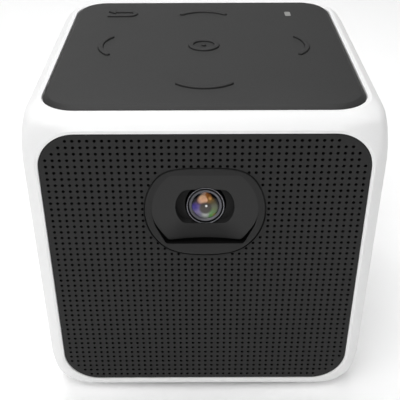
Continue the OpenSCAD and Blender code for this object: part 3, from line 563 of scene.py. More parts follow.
BAR_MIDDLE, BAR_FLANGE = plan_box("key_up")
BACK_KEY, BACK_FLANGE = plan_box("key_back")
LAMP, GUIDE_FLANGE = plan_box("light_guide")
OK_FLANGE = plan_box("key_ok")[1][0] / 2


def rounded_rectangle(middle, size, radius, grow=0.0):
    """Rectangle with round corners, grown all round, as a loop."""
    turn = np.concatenate([np.linspace(q, q + math.pi / 2, ARC_POINTS) for q in np.arange(4) * math.pi / 2])
    corner = np.array([(1, 1), (-1, 1), (-1, -1), (1, -1)]).repeat(ARC_POINTS, 0)
    core = corner * (np.array(size) / 2 - radius)
    return core + (radius + grow) * np.column_stack([np.cos(turn), np.sin(turn)]) + middle


def circle(middle, radius, steps=32):
    """Circle as a loop."""
    turn = 2 * math.pi * np.arange(steps) / steps
    return radius * np.column_stack([np.cos(turn), np.sin(turn)]) + middle


def bar_flange(grow=0.0):
    """Flange of the bar key behind the middle, grown all round."""
    return rounded_rectangle(BAR_MIDDLE, BAR_FLANGE, FLANGE_CORNER, grow)


def back_flange(grow=0.0):
    """Flange of the turn-back key, grown all round."""
    return rounded_rectangle(BACK_KEY, BACK_FLANGE, FLANGE_CORNER, grow)


def lamp_outline(grow=0.0):
    """Outline of the indicator window, grown all round."""
    return rounded_rectangle(LAMP, LAMP_SIZE, LAMP_CORNER, grow)


def key_wells():
    """Holes in the deck under the pad, one for each key and one for the light guide."""
    wells = [bar_flange(WELL_GAP) @ turn.T for turn in QUARTERS]
    wells += [circle((0, 0), OK_FLANGE + WELL_GAP), back_flange(WELL_GAP)]
    return wells + [lamp_outline(2 * LAMP_SLIP)]


def flat_part(face, outline, holes, depth):
    """A flat region with holes, at a depth below a cube face, in the piece's first material."""
    points, triangles, hole = split_region(outline, holes)
    return on_face(face, points, depth), triangles[hole == 0], 0


def keyed_face(face):
    """The top, with a shallow recess for the pad over a deck that has the key wells."""
    rows = rim_rows(face) + lip_rows(face, lambda grow: face_loop(PAD_SLIP + grow), PAD_DEPTH)
    wells = key_wells()
    deck = flat_part(face, face_loop(PAD_SLIP), wells, PAD_DEPTH)
    ceiling = flat_part(face, INNER_SQUARE, wells, WALL)
    walls = [loft(stack(face, [(well, PAD_DEPTH), (well, WALL)])) for well in wells]
    return [loft(rows), deck, ceiling] + walls


# Moulded ABS is a bright white with a soft gloss, so that its bevels roll off in smooth greys.
white_abs = moulded("moulded_white_abs", "#efefef", "#f6f6f6", 0.38, 0.3, 0.05)
shell_parts = open_face("front", FRONT_SLIP) + open_face("rear") + open_face("base")
shell_parts += blank_face("left") + slotted_face("right") + keyed_face("top")
make_piece("white_case", shell_parts, "case", [white_abs], ["main_shell"], crease=16)

# %% [markdown]
# The front is a black moulding with the lens pod in its upper middle. The pod is a circle with flats below
# and above. It sits in a fine groove, nearly flush at its top and standing out at its foot. Its opening runs
# on from a circle in straight flanks to a flat foot, and the plate inside has steeper flanks and an arched
# lower edge. All of these are given as a radius for each angle round the lens axis, because the smooth least
# of two radii joins two outlines without a corner, where cutting meshes would leave slivers.

# %% Pod outlines
ring_low, ring_high = node_box("lens_ring")
AXIS_Z = (ring_low[2] + ring_high[2]) / 2
PANEL_DEPTH = 0.1
POD_STEPS = 192
POD_SIDE = 11.2
POD_LOW = 10.35
POD_HIGH = 9.02
POD_CORNERS = 10
POD_TOP_PROUD = 0.25
POD_FOOT_PROUD = 0.6
GROOVE_TOP = 0.18
GROOVE_FOOT = 0.65
GROOVE_SIDE_SHARE = 0.2
CRISP_CORNERS = 60
OPENING_SIDE = 9.93
OPENING_LOW = 7.45
OPENING_HIGH = 7.6
OPENING_FLANK = math.radians(26)
PLATE_LOW = 6.62
PLATE_ARCH = 0.45
ARCH_REACH = 1.1
PLATE_FLANK = math.radians(31)
FLANK_REACH = 9.66
FLANK_CORNERS = 45
LEAST_RISE = 1e-4
LEAST_COSINE = 0.1

pod_turn = 2 * math.pi * (np.arange(POD_STEPS) + 0.5) / POD_STEPS
lens_up = AXIS_Z - MID_Z


def smooth_least(first, second, corners):
    """Smooth least of two radii: (a ** -n + b ** -n) ** (-1 / n), crisper where n is larger."""
    return (first ** -corners + second ** -corners) ** (-1 / corners)


def cut_circle(turn, side, low, high, grow=0.0, corners=CRISP_CORNERS):
    """Polar radius of a circle with flats below and above: the smooth least of circle and flats."""
    up = np.sin(turn)
    flat = (np.where(up > 0, high, low) + grow) / np.maximum(np.abs(up), LEAST_RISE)
    return smooth_least(side + grow, flat, corners)


def slope_below(turn):
    """Angle of a ray below level, the same at both sides."""
    return -np.arctan2(np.sin(turn), np.abs(np.cos(turn)))


def flank_radius(turn, distance, slope):
    """Polar radius of straight flanks at both sides below, square to a ray that slopes down by an angle."""
    return distance / np.maximum(np.cos(slope_below(turn) - slope), LEAST_COSINE)


def opening_radius(turn):
    """Polar radius of the pod's opening: a circle that runs on in straight flanks to a flat foot."""
    flank = flank_radius(turn, OPENING_SIDE, np.minimum(slope_below(turn), OPENING_FLANK))
    return cut_circle(turn, flank, OPENING_LOW, OPENING_HIGH)


def plate_radius(turn):
    """Least radius of the opening's circle, steeper flanks, and a lower edge that arches up in the middle."""
    reach = np.clip(np.cos(turn) / np.maximum(-np.sin(turn), LEAST_COSINE), -ARCH_REACH, ARCH_REACH)
    own = cut_circle(turn, OPENING_SIDE, PLATE_LOW + PLATE_ARCH * reach ** 2, OPENING_HIGH)
    return smooth_least(own, flank_radius(turn, FLANK_REACH, PLATE_FLANK), FLANK_CORNERS)


def pod_radius(turn, grow=0.0):
    """Polar radius of the pod's outline, grown all round."""
    return cut_circle(turn, POD_SIDE, POD_LOW, POD_HIGH, grow, POD_CORNERS)


def groove_width(turn):
    """Width of the groove round the pod: narrow above, and wider towards the foot."""
    share = np.clip(GROOVE_SIDE_SHARE - (1 - GROOVE_SIDE_SHARE) * np.sin(turn), 0, 1)
    return GROOVE_TOP + (GROOVE_FOOT - GROOVE_TOP) * share


def polar_loop(radius, middle=(0, 0)):
    """Loop on the pod's angles at a radius, about a point measured from the lens axis."""
    return np.column_stack([radius * np.cos(pod_turn), radius * np.sin(pod_turn) + lens_up]) + middle


def pod_loop(grow):
    """The pod's outline, grown all round."""
    return polar_loop(pod_radius(pod_turn, grow))


def pod_depth(flat):
    """Depth of the pod's front, which leans forward from its top edge to its foot."""
    share = np.clip((lens_up + POD_HIGH - flat[..., 1]) / (POD_LOW + POD_HIGH), 0, 1)
    return PANEL_DEPTH - POD_TOP_PROUD - (POD_FOOT_PROUD - POD_TOP_PROUD) * share


print("Lens axis above the middle of the front, in mm:", round(lens_up, 2))

# %% [markdown]
# Round the pod, the front has some eighteen hundred small holes on a square grid. Cutting them with booleans
# would be slow and leave slivers, so the flat outline is split into triangles along all hole edges at once.
# Triangles inside a hole drop to its floor, and a wall joins the two. Holes that touch the pod's groove are
# pushed flat on that side. A dark cloth lies at the bottom of each hole, and the hole walls share its near
# black as painted shade.

# %% Perforation
HOLE_PITCH = 1.308
HOLE_RADIUS = 0.31
HOLE_SIDES = 8
HOLE_DEPTH = 0.9
HOLE_FIELD = 28.95
HOLE_FIELD_RADIUS = 5.6
HOLES_EACH_WAY = 22
HOLE_SHIFT = (0.12, 0)
LEAST_CLEAR = 0.4 * HOLE_RADIUS
GROOVE_WALL = 0.03
PANEL_GROW = 0.09
PANEL_EDGE = 0.3


def groove_distance(points):
    """Distance outside the pod's groove, by the growth at which the pod's outline passes through the point.
    The growth is found by Newton's rule, with the slope over a short step."""
    turn = np.arctan2(points[..., 1] - lens_up, points[..., 0])
    reach = np.hypot(points[..., 0], points[..., 1] - lens_up)
    grow = reach - pod_radius(turn)
    step = 0.01
    for _ in range(5):
        here = pod_radius(turn, grow)
        grow = grow + (reach - here) * step / (pod_radius(turn, grow + step) - here)
    return grow - groove_width(turn)


def hole_centres():
    """Square grid of holes, kept where they clear the panel's rounded outline and the pod's groove."""
    step = HOLE_PITCH * np.arange(-HOLES_EACH_WAY, HOLES_EACH_WAY + 1)
    grid = np.stack(np.meshgrid(step, step), -1).reshape(-1, 2) + HOLE_SHIFT
    past = np.maximum(np.abs(grid) - (HOLE_FIELD - HOLE_FIELD_RADIUS), 0)
    grid = grid[np.hypot(past[:, 0], past[:, 1]) <= HOLE_FIELD_RADIUS]
    return grid[groove_distance(grid) > LEAST_CLEAR]


def hole_loops():
    """Eight-sided holes, whose points move away from the pod where they would cut into its groove."""
    loops = hole_centres()[:, None] + circle((0, 0), HOLE_RADIUS, HOLE_SIDES)
    nudge = 0.001
    for _ in range(3):
        here = groove_distance(loops)
        slope = np.stack([groove_distance(loops + step) - here for step in nudge * np.eye(2)], -1)
        slope /= np.linalg.norm(slope, axis=-1, keepdims=True)
        loops = loops + slope * np.clip(GROOVE_WALL - here, 0, HOLE_RADIUS)[..., None]
    return loops


def perforated_skin():
    """The panel's face with its holes: surface, hole walls and hole floors.
    Region 1 is the pod's, which stays open, and the holes are the regions above it."""
    holes = [pod_loop(groove_width(pod_turn)), *hole_loops()]
    points, triangles, hole = split_region(face_loop(PANEL_GROW - PANEL_EDGE), holes)
    top = on_face("front", points, PANEL_DEPTH)
    floor = on_face("front", points, PANEL_DEPTH + HOLE_DEPTH)
    upper, lower = triangles[hole == 0], triangles[hole > 1]
    edge = np.concatenate([upper[:, [0, 1]], upper[:, [1, 2]], upper[:, [2, 0]]])
    back = np.concatenate([lower[:, [1, 0]], lower[:, [2, 1]], lower[:, [0, 2]]])
    count = len(points)
    shared = edge[np.isin(edge[:, 0] * count + edge[:, 1], back[:, 0] * count + back[:, 1])]
    walls = np.column_stack([shared, shared[:, ::-1] + count])
    both = np.concatenate([top, floor])
    # The hole walls and floors take the near-black second material: painted shade inside the holes.
    return [(top, upper, 0), (both, walls, 1), (floor, lower, 1)]


print("Holes in the front:", len(hole_centres()))

# %% [markdown]
# The pod's wall rises from the groove to a rounded rim, and its lean comes from the depth at each point. The
# opening's lip is rounded below and fades to nothing above, where the plate inside runs on flush. Behind the
# lip the opening widens below, and a shelf closes it round the plate. Cavity and shelf are near black, which
# is painted shade, so that the gap under the plate is dark from every side. The panel's own edge is rounded
# over to its back. A bevel modifier can't make a lip that fades, so every point of a loop has its own depth.

# %% Front panel
EDGE_ROWS = 5
GROOVE_DEPTH = 0.55
POD_EDGE = 0.15
OPENING_LIP = 0.05
OPENING_SKIN = 0.12
LIP_LEVEL = 0.25
LEAST_LIP = 0.02
CAVITY = 0.55
CAVITY_STEP = 0.1
SHELF_DEPTH = 1.3
SHELF_SLIP = 0.04


def pod_rows():
    """Loops through the groove, up the pod's wall, over its rim and down into the opening, then the loops of
    the cavity behind its lip, and the outline at which the cavity ends on the panel's back."""
    groove = pod_loop(groove_width(pod_turn))
    floor = PANEL_DEPTH + GROOVE_DEPTH
    steps = [(groove, PANEL_DEPTH), (groove, floor), (pod_loop(0), floor)]
    for inset, drop in POD_EDGE * quarter_round(EDGE_ROWS)[::-1]:
        rim = pod_loop(-inset)
        steps.append((rim, pod_depth(rim) + drop))
    below = np.clip(LIP_LEVEL - np.sin(pod_turn), LEAST_LIP, 1)
    opening = opening_radius(pod_turn)
    for across, down in OPENING_LIP * quarter_round(EDGE_ROWS):
        lip = polar_loop(opening + across * below)
        steps.append((lip, pod_depth(lip) + down * below))
    edge = polar_loop(opening)
    skin = pod_depth(edge) + OPENING_SKIN
    widened = opening + CAVITY * below
    plate = plate_radius(pod_turn)
    cavity = polar_loop(widened)
    shelf = polar_loop(plate + SHELF_SLIP * (widened - plate))
    inside = [(edge, skin), (cavity, skin + CAVITY_STEP), (cavity, SHELF_DEPTH), (shelf, SHELF_DEPTH)]
    inside.append((shelf, SEAT_DEPTH))
    return stack("front", steps + inside[:1]), stack("front", inside), shelf


def panel_edge_rows():
    """Loops over the panel's rounded edge to its back."""
    edge = PANEL_EDGE * quarter_round(EDGE_ROWS)
    steps = [(face_loop(PANEL_GROW - across), PANEL_DEPTH + down) for across, down in edge]
    return stack("front", steps + [(face_loop(PANEL_GROW), SEAT_DEPTH)])


# Black polycarbonate from an eroded mould is a matt charcoal. The near-black second material is the cloth
# behind the holes, and painted shade on the hole walls and in the pod's cavity.
panel_black = moulded("moulded_black_polycarbonate", "#292929", "#303030", 0.55, 0.16, 0.25, specular=0.12)
hole_cloth_and_shade = moulded("black_cloth_and_painted_shade", "#0c0c0c", "#161616", 0.9, 0.12, 0.4, specular=0.1)
pod_stack, cavity_stack, opening_loop = pod_rows()
# The cavity and shelf behind the opening's lip take the near-black material: painted shade under the plate.
panel_parts = perforated_skin() + [loft(pod_stack), loft(cavity_stack, 1), loft(panel_edge_rows())]
panel_parts.append(flat_part("front", face_loop(PANEL_GROW), [opening_loop], SEAT_DEPTH))
make_piece("perforated_front", panel_parts, "case", [panel_black, hole_cloth_and_shade], ["front_panel"])

# %% [markdown]
# The lens shroud is the plate inside the pod. At the top it runs on from the pod's rim without a step. From
# half way down it draws in and leans back, so a dark gap opens under it, and it is hollowed like a saucer.
# Its window has a round bay for the lens and a black floor a little way in. It is a ring of loops from its
# outline to the window and back behind, so one stack of lofts closes on itself.

# %% Lens shroud's shape
shroud_low, shroud_high = node_box("lens_shroud")
LEAN_START = 0.8
LEAN_DEPTH = 0.5
LEAN_POWER = 1.25
HOLLOW_DEPTH = 0.65
PLATE_ROWS = 16
WINDOW_SIDE = 5.5
WINDOW_FLAT = 3.84
WINDOW_LIFT = (0, 0.78)
WINDOW_CORNERS = 16
WINDOW_LIP = 0.06
WALL_DEPTH = 0.3
BAY_MIDDLE = (0.1, 0.2)
BAY_AXES = (3.62, 4.14)
LENS_HOLE_MIDDLE = (0.12, -0.5)
LENS_HOLE_AXES = (3.9, 4.48)
LENS_HOLE_ROOM = 0.05
FLOOR_DEPTH = 1.5
FLOOR_BACK = 1.9
CUP_SIDE = 8.5
CUP_LOW = 5.82
CUP_HIGH = 7.2
FLANGE_SIDE = 12.7
FLANGE_GAP = 0.02
FLANGE_FRONT = SEAT_DEPTH + FLANGE_GAP
FLANGE_BACK = HALF + shroud_high[1]


def shroud_depth(flat):
    """Lean that grows below the start line, and a hollow that is deepest on the centre line."""
    drop = np.clip((LEAN_START + lens_up - flat[..., 1]) / (LEAN_START + OPENING_LOW), 0, 1)
    across = np.clip(flat[..., 0] / OPENING_SIDE, -1, 1)
    return pod_depth(flat) + drop ** LEAN_POWER * (LEAN_DEPTH + HOLLOW_DEPTH * (1 - across ** 2))


def oval_radius(middle, axes):
    """Polar radius of an ellipse off the window's middle, from the root of its quadratic equation."""
    way = np.column_stack([np.cos(pod_turn), np.sin(pod_turn)]) / axes
    middle = np.array(middle) / axes
    square, mixed, rest = (way ** 2).sum(1), way @ middle, middle @ middle - 1
    return (mixed + np.sqrt(mixed ** 2 - square * rest)) / square


def shroud_rows():
    """Front from the outline to the window, in to the floor and its lens hole, then behind to the outline.
    Behind its edge the window widens to clear the lens, which reaches lower than the window does."""
    outline = polar_loop(plate_radius(pod_turn))
    window_radius = cut_circle(pod_turn, WINDOW_SIDE, WINDOW_FLAT, WINDOW_FLAT, corners=WINDOW_CORNERS)
    window_radius = np.maximum(window_radius, oval_radius(BAY_MIDDLE, BAY_AXES))
    hole_radius = oval_radius(LENS_HOLE_MIDDLE, LENS_HOLE_AXES)
    lipped = polar_loop(window_radius + WINDOW_LIP, WINDOW_LIFT)
    window = polar_loop(window_radius, WINDOW_LIFT)
    widened = polar_loop(np.maximum(window_radius, hole_radius + LENS_HOLE_ROOM), WINDOW_LIFT)
    lens_hole = polar_loop(hole_radius, WINDOW_LIFT)
    cup = polar_loop(cut_circle(pod_turn, CUP_SIDE, CUP_LOW, CUP_HIGH))
    flange = polar_loop(cut_circle(pod_turn, FLANGE_SIDE, AXIS_Z - shroud_low[2], shroud_high[2] - AXIS_Z))
    plate = [outline + share * (lipped - outline) for share in np.linspace(0, 1, PLATE_ROWS)]
    front = [(flat, shroud_depth(flat)) for flat in plate]
    front.append((window, shroud_depth(window) + WINDOW_LIP))
    wall = shroud_depth(window) + WALL_DEPTH
    recess = [front[-1], (window, wall), (widened, wall + LENS_HOLE_ROOM), (widened, FLOOR_DEPTH)]
    recess += [(lens_hole, FLOOR_DEPTH), (lens_hole, FLOOR_BACK)]
    back = [recess[-1], (cup, FLOOR_BACK), (cup, FLANGE_BACK), (flange, FLANGE_BACK)]
    back += [(flange, FLANGE_FRONT), (outline, FLANGE_FRONT), front[0]]
    return [stack("front", steps) for steps in (front, recess, back)]


front_rows, recess_rows, back_rows = shroud_rows()
print("Loops of the shroud:", len(front_rows), len(recess_rows), len(back_rows))

# %% [markdown]
# The plate has the panel's plastic, with painted shade that makes its hollow foot darker, where the plate
# leans back and faces down. A Mapping node measures the distance from the foot's middle in a stretched space,
# so the change of tone is a soft oval. The recess behind the window is a darker matt black: painted shade.

# %% Lens shroud
# Painted shade: the soft oval round the plate's foot, where its tone goes darker.
PAINTED_SHADE_MIDDLE = np.array([-0.5, -33.0, AXIS_Z - 6.0])
PAINTED_SHADE_STRETCH = (1.5, 1.0, 1.0)
PAINTED_SHADE_NEAR = 2.2
PAINTED_SHADE_FAR = 6.0
PLATE_GRAIN = 0.16


def plate_black_painted_shade():
    """Black polycarbonate with painted shade: darker at its hollow foot, where the plate faces down."""
    material, tree, place = new_material("moulded_polycarbonate_painted_shade")
    flat = add(tree, "ShaderNodeMapping", {
        "Vector": place, "Location": tuple(PAINTED_SHADE_MIDDLE * MM), "Scale": PAINTED_SHADE_STRETCH},
        vector_type="TEXTURE")
    away = add(tree, "ShaderNodeVectorMath", {0: flat.outputs[0]}, operation="LENGTH")
    speck = add(tree, "ShaderNodeTexNoise", {"Vector": place, "Scale": per(PLATE_GRAIN), "Detail": 3.0})
    share = add(tree, "ShaderNodeMapRange", {
        "Value": away.outputs["Value"], "From Min": PAINTED_SHADE_NEAR * MM, "From Max": PAINTED_SHADE_FAR * MM},
        interpolation_type="SMOOTHSTEP")
    tone = add(tree, "ShaderNodeMix", {
        "Factor": share.outputs[0], "A": linear("#242424"), "B": linear("#343434")}, data_type="RGBA")
    dent = add(tree, "ShaderNodeBump", {
        "Height": speck.outputs[0], "Strength": 0.1, "Distance": GRAIN_HEIGHT * MM})
    surface = add(tree, "ShaderNodeBsdfPrincipled", {
        "Base Color": tone.outputs["Result"], "Roughness": 0.5, "Normal": dent.outputs[0],
        "Specular IOR Level": 0.12})
    add(tree, "ShaderNodeOutputMaterial", {"Surface": surface.outputs[0]})
    return material


# A darker matt black with almost no highlight, painted shade, so the window stays dark behind the lens.
recess_painted_shade = moulded("matt_black_painted_shade", "#252525", "#2d2d2d", 0.9, 0.1, 0.3, specular=0.05)
plate_parts = [loft(front_rows), loft(recess_rows, 1), loft(back_rows)]
make_piece("lens_plate", plate_parts, "case", [plate_black_painted_shade(), recess_painted_shade], ["lens_shroud"])

# %% [markdown]
# The lens looks out of the window, tipped up a little: a black snout with a bright turned edge and a grey
# retaining ring. Each is a profile turned about the lens axis, so a function of angle and profile step. The
# snout's mouth turns about the tipped axis and its foot about the level one. A spin modifier has one axis
# only, so the loops are worked out and then joined.

# %% Lens snout and ring
_, snout_high = node_box("lens_barrel")
LENS_TILT = math.radians(15)
LENS_CENTRE = np.array([0.12, -31.2, AXIS_Z - 0.36])
TURN_STEPS = 96
BARREL_RADIUS = 6.5
BARREL_FRONT = -25.0
SNOUT_RADIUS = 3.5
BORE_RADIUS = 2.3
MOUTH = [(3.58, 1.0), (3.58, 0.05), (3.54, 0.0), (3.46, 0.0), (3.4, 0.06)]
MOUTH_WELL = [(3.38, 0.1), (3.34, 1.0), (3.13, 1.0), (3.13, 2.4)]
BEZEL = [(3.11, 1.3), (3.11, 0.2), (3.06, 0.14), (2.8, 0.22), (2.64, 0.34), (2.62, 1.3), (3.11, 1.3)]

lens_angle = 2 * math.pi * np.arange(TURN_STEPS) / TURN_STEPS


def turned(profile):
    """Profile of (radius, y) pairs turned about the level lens axis."""
    radius, depth = np.asarray(profile, float).T[..., None]
    x = radius * np.cos(lens_angle)
    return np.stack([x, np.broadcast_to(depth, x.shape), radius * np.sin(lens_angle) + AXIS_Z], -1)


def tipped(profile):
    """Profile of (radius, distance inwards) pairs turned about the tipped axis through the lens centre."""
    radius, inward = np.asarray(profile, float).T[..., None, None]
    up = np.array([0, math.sin(LENS_TILT), math.cos(LENS_TILT)])
    back = np.array([0, math.cos(LENS_TILT), -math.sin(LENS_TILT)])
    across = np.cos(lens_angle)[:, None] * (1, 0, 0) + np.sin(lens_angle)[:, None] * up
    return LENS_CENTRE + radius * across + inward * back


# Black anodising is deep and slightly glossy, satin anodising a plain grey, and the turned edge a pale line.
snout_black = moulded("black_anodised_aluminium", "#121212", "#171717", 0.45, 0.1, 0.05, specular=0.3)
ring_grey = moulded("satin_anodised_aluminium", "#5e5e64", "#6a6a70", 0.4, 0.1, 0.05)
bright_edge = moulded("bright_turned_aluminium", "#84848a", "#94949a", 0.3, 0.1, 0.05)
foot = turned([(BORE_RADIUS, snout_high[1]), (BARREL_RADIUS, snout_high[1]), (BARREL_RADIUS, BARREL_FRONT),
               (SNOUT_RADIUS, BARREL_FRONT)])
mouth = tipped(MOUTH)
bore = turned([(BORE_RADIUS, BARREL_FRONT), (BORE_RADIUS, snout_high[1])])
outside = np.concatenate([foot, mouth[:2]])
inside = np.concatenate([mouth[-1:], tipped(MOUTH_WELL), bore])
snout_parts = [loft(outside), loft(mouth[1:], 1), loft(inside)]
make_piece("lens_tube", snout_parts, "lens", [snout_black, bright_edge], ["lens_barrel"])
make_piece("retaining_ring", [loft(tipped(BEZEL))], "lens", [ring_grey], ["lens_ring"])

# %% [markdown]
# The front glass is a polished dome. The violet, amber and green images of the lights that thin coatings on
# the inner glasses throw back are painted reflections: they have fixed places on this lens, so they are soft
# spots of colour under a clear gloss, over a ring of painted hues that follows the angle round the lens. A
# painted glint, a dark pupil and painted shade at the rim are spots too. Real coatings and inner glasses
# would need many light bounces for the same look, and would change with every small shift of a light.

# %% Front glass
GLASS_BALL = 7.0
GLASS_FRONT = -0.16
GLASS_RADIUS = 2.6
GLASS_BACK = 1.3
GLASS_ROWS = 24
POLE = 0.02
# Painted reflections of the lights: hues round the lens, then spots of place, start, full and tint.
PAINTED_REFLECTION_HUES = (
    (0.0, "#6b5699"), (0.09, "#74659c"), (0.17, "#868296"), (0.25, "#939a93"), (0.31, "#74a067"),
    (0.38, "#608c52"), (0.44, "#6c7a52"), (0.5, "#686c5c"), (0.57, "#5f5438"), (0.66, "#946a2e"),
    (0.75, "#84531f"), (0.84, "#6a4a2e"), (0.92, "#4b3542"), (1.0, "#6b5699"),
)
PAINTED_REFLECTION_SPOTS = (
    ((0, -0.35), 1.95, 2.6, "#0c0a10"),
    ((-2.15, -0.3), 1.1, 0.2, "#35248c"),
    ((0, -1.8), 1.0, 0.1, "#c6cac6"),
    ((1.1, -2.1), 0.7, 0.1, "#6fa85c"),
    ((1.75, -2.0), 0.7, 0.1, "#a5814c"),
    ((0, 2.1), 1.0, 0.2, "#b06a2a"),
    ((0.75, 1.9), 0.6, 0.1, "#a8662c"),
    ((-0.75, 1.2), 1.0, 0.4, "#e0b09c"),
    ((-0.5, 1.55), 0.85, 0.4, "#fccca0"),
    ((-0.2, 1.15), 0.7, 0.5, "#f4be9a"),
    ((0.85, 1.5), 0.5, 0.1, "#e0a868"),
    ((0, -0.42), 1.5, 0.85, "#46413c"),
    ((0.14, 0.03), 0.34, 0.18, "#ffffff"),
)


def glass_painted_reflections():
    """Crown glass with painted reflections: a hue for each angle round the lens, and soft spots over it, in
    their order. A spot is a place in mm on the lens, the distances where its tint starts and is full, and the
    tint.
    The first paints shade at the rim, the last two are the dark pupil and a painted glint in its middle, and
    the others are painted reflections of the lights. A thin clear coat gives the wet look of polished glass."""
    material, tree, place = new_material("polished_glass_painted_reflections")
    flat = add(tree, "ShaderNodeMapping", {
        "Vector": place, "Location": tuple(LENS_CENTRE * MM), "Rotation": (-LENS_TILT, 0, 0)},
        vector_type="TEXTURE").outputs[0]
    split = add(tree, "ShaderNodeSeparateXYZ", {"Vector": flat})
    angle = add(tree, "ShaderNodeMath", {0: split.outputs["Z"], 1: split.outputs["X"]}, operation="ARCTAN2")
    share = add(tree, "ShaderNodeMapRange", {
        "Value": angle.outputs[0], "From Min": -math.pi, "From Max": math.pi})
    hue = add(tree, "ShaderNodeValToRGB", {"Fac": share.outputs[0]})
    for position, code in PAINTED_REFLECTION_HUES[1:-1]:
        hue.color_ramp.elements.new(position).color = linear(code)
    for end in (0, -1):
        hue.color_ramp.elements[end].color = linear(PAINTED_REFLECTION_HUES[end][1])
    layer = hue.outputs[0]
    for (x, z), start, full, code in PAINTED_REFLECTION_SPOTS:
        away = add(tree, "ShaderNodeVectorMath", {0: flat, 1: (x * MM, 0, z * MM)}, operation="DISTANCE")
        share = add(tree, "ShaderNodeMapRange", {
            "Value": away.outputs["Value"], "From Min": start * MM, "From Max": full * MM},
            interpolation_type="SMOOTHSTEP")
        layer = add(tree, "ShaderNodeMix", {"Factor": share.outputs[0], "A": layer, "B": linear(code)},
                    data_type="RGBA").outputs["Result"]
    surface = add(tree, "ShaderNodeBsdfPrincipled", {
        "Base Color": layer, "Roughness": 0.2, "IOR": 1.6, "Specular IOR Level": 0.2,
        "Coat Weight": 0.4, "Coat Roughness": 0.03})
    add(tree, "ShaderNodeOutputMaterial", {"Surface": surface.outputs[0]})
    return material


reach = np.linspace(POLE, GLASS_RADIUS, GLASS_ROWS)
dome = np.column_stack([reach, GLASS_FRONT + GLASS_BALL - np.sqrt(GLASS_BALL ** 2 - reach ** 2)])
glass = tipped([*dome, (GLASS_RADIUS, GLASS_BACK), (POLE, GLASS_BACK)])
glass_parts = [loft(glass), lid(glass[0]), lid(glass[-1])]
make_piece("front_glass", glass_parts, "lens", [glass_painted_reflections()], ["front_lens"])

# %% [markdown]
# The marks on the key pad are the keys themselves: four curved bars, a ring with a dot, and an arrow that
# turns back. Each mark is an outline of arcs and straight lines that can grow, so that the key and the slot
# round it come from the same function.

# %% Key marks
LINE_WIDTH = 1.05
KEY_RING = 21.7
MARK_RADIUS = 7.5
MARK_HALF_TURN = math.radians(41.5)
MARK_STEPS = 17
END_TURNS = np.radians((30, 60, 90, 120, 150))
OK_RADIUS = 3.25
ROUND_STEPS = 64
ARROW_TURN = 1.4
ARROW_BARB = 1.4
ARROW_TIP = -3.4
ARROW_HEAD = -1.7
ARROW_BEND = (1.6, 0)
ARROW_STEPS = 13


def from_north(radius, turn):
    """Points on a circle, at angles turned from +Y towards +X."""
    return np.column_stack([radius * np.sin(turn), radius * np.cos(turn)])


def bar_mark(grow):
    """Curved bar with round ends: outer arc, right end, inner arc, left end."""
    half = LINE_WIDTH / 2 + grow
    sweep = np.linspace(-MARK_HALF_TURN, MARK_HALF_TURN, MARK_STEPS)
    start, end = from_north(MARK_RADIUS, sweep[[0, -1]])
    outer = from_north(MARK_RADIUS + half, sweep)
    right = end + from_north(half, END_TURNS + MARK_HALF_TURN)
    inner = from_north(MARK_RADIUS - half, sweep[::-1])
    left = start + from_north(half, END_TURNS + math.pi - MARK_HALF_TURN)
    return np.concatenate([outer, right, inner, left]) + (0, KEY_RING - MARK_RADIUS)


def back_mark(grow):
    """Outline of the arrow that turns back: head, upper bar, outer turn, lower bar, inner turn."""
    half = LINE_WIDTH / 2 + grow
    barb = ARROW_BARB + 2 * grow
    head = ARROW_HEAD + grow
    end = ARROW_TIP - grow
    sweep = np.linspace(0, math.pi, ARROW_STEPS)
    outer = from_north(ARROW_TURN + half, sweep) + ARROW_BEND
    inner = from_north(ARROW_TURN - half, sweep[::-1]) + ARROW_BEND
    tip = [(ARROW_TIP - 2 * grow, ARROW_TURN), (head, ARROW_TURN + barb), (head, ARROW_TURN + half)]
    tail = [(end, -ARROW_TURN - half), (end, -ARROW_TURN + half)]
    neck = [(head, ARROW_TURN - half), (head, ARROW_TURN - barb)]
    return np.concatenate([tip, outer, tail, inner, neck]) + BACK_KEY


print("Points of a bar and of the arrow:", len(bar_mark(0)), len(back_mark(0)))

# %% [markdown]
# The pad is soft rubber with a bevelled rim. The keys stand up through slots that follow their outlines, so
# the pad is a flat region with those slots cut out, and its rim is a stack of loops.

# %% Key pad
PAD_TOP = shell_high[2] - pad_high[2]
PAD_INSET = 0.28
SLOT_GAP = 0.08
BEVEL_IN = 1.05
BEVEL = [(BEVEL_IN, 0.0), (BEVEL_IN - 0.08, 0.012), (BEVEL_IN - 0.18, 0.065), (0.06, 0.72), (0.0, 0.8)]


def pad_slots():
    """Slots in the pad: four bars, the round key, the arrow and the indicator window."""
    slots = [bar_mark(SLOT_GAP) @ turn.T for turn in QUARTERS]
    slots += [circle((0, 0), OK_RADIUS + SLOT_GAP, ROUND_STEPS), back_mark(SLOT_GAP)]
    return slots + [lamp_outline(LAMP_SLIP)]


def pad_parts():
    """Bevelled rim and side, top with slots, underside and slot walls."""
    steps = [(face_loop(-PAD_INSET - inset), PAD_TOP + drop) for inset, drop in BEVEL]
    side = face_loop(-PAD_INSET)
    slots = pad_slots()
    top = flat_part("top", face_loop(-PAD_INSET - BEVEL_IN), slots, PAD_TOP)
    underside = flat_part("top", side, slots, PAD_DEPTH)
    walls = [loft(stack("top", [(slot, PAD_TOP), (slot, PAD_DEPTH)])) for slot in slots]
    return [loft(stack("top", steps + [(side, PAD_DEPTH)])), top, underside] + walls


# Silicone rubber is a dull charcoal that brightens at a flat angle, where it catches the light from behind.
pad_rubber = moulded("moulded_silicone_rubber", "#272727", "#2e2e2e", 0.62, 0.2, 0.2, specular=0.4)
make_piece("key_pad", pad_parts(), "case", [pad_rubber], ["top_pad"])

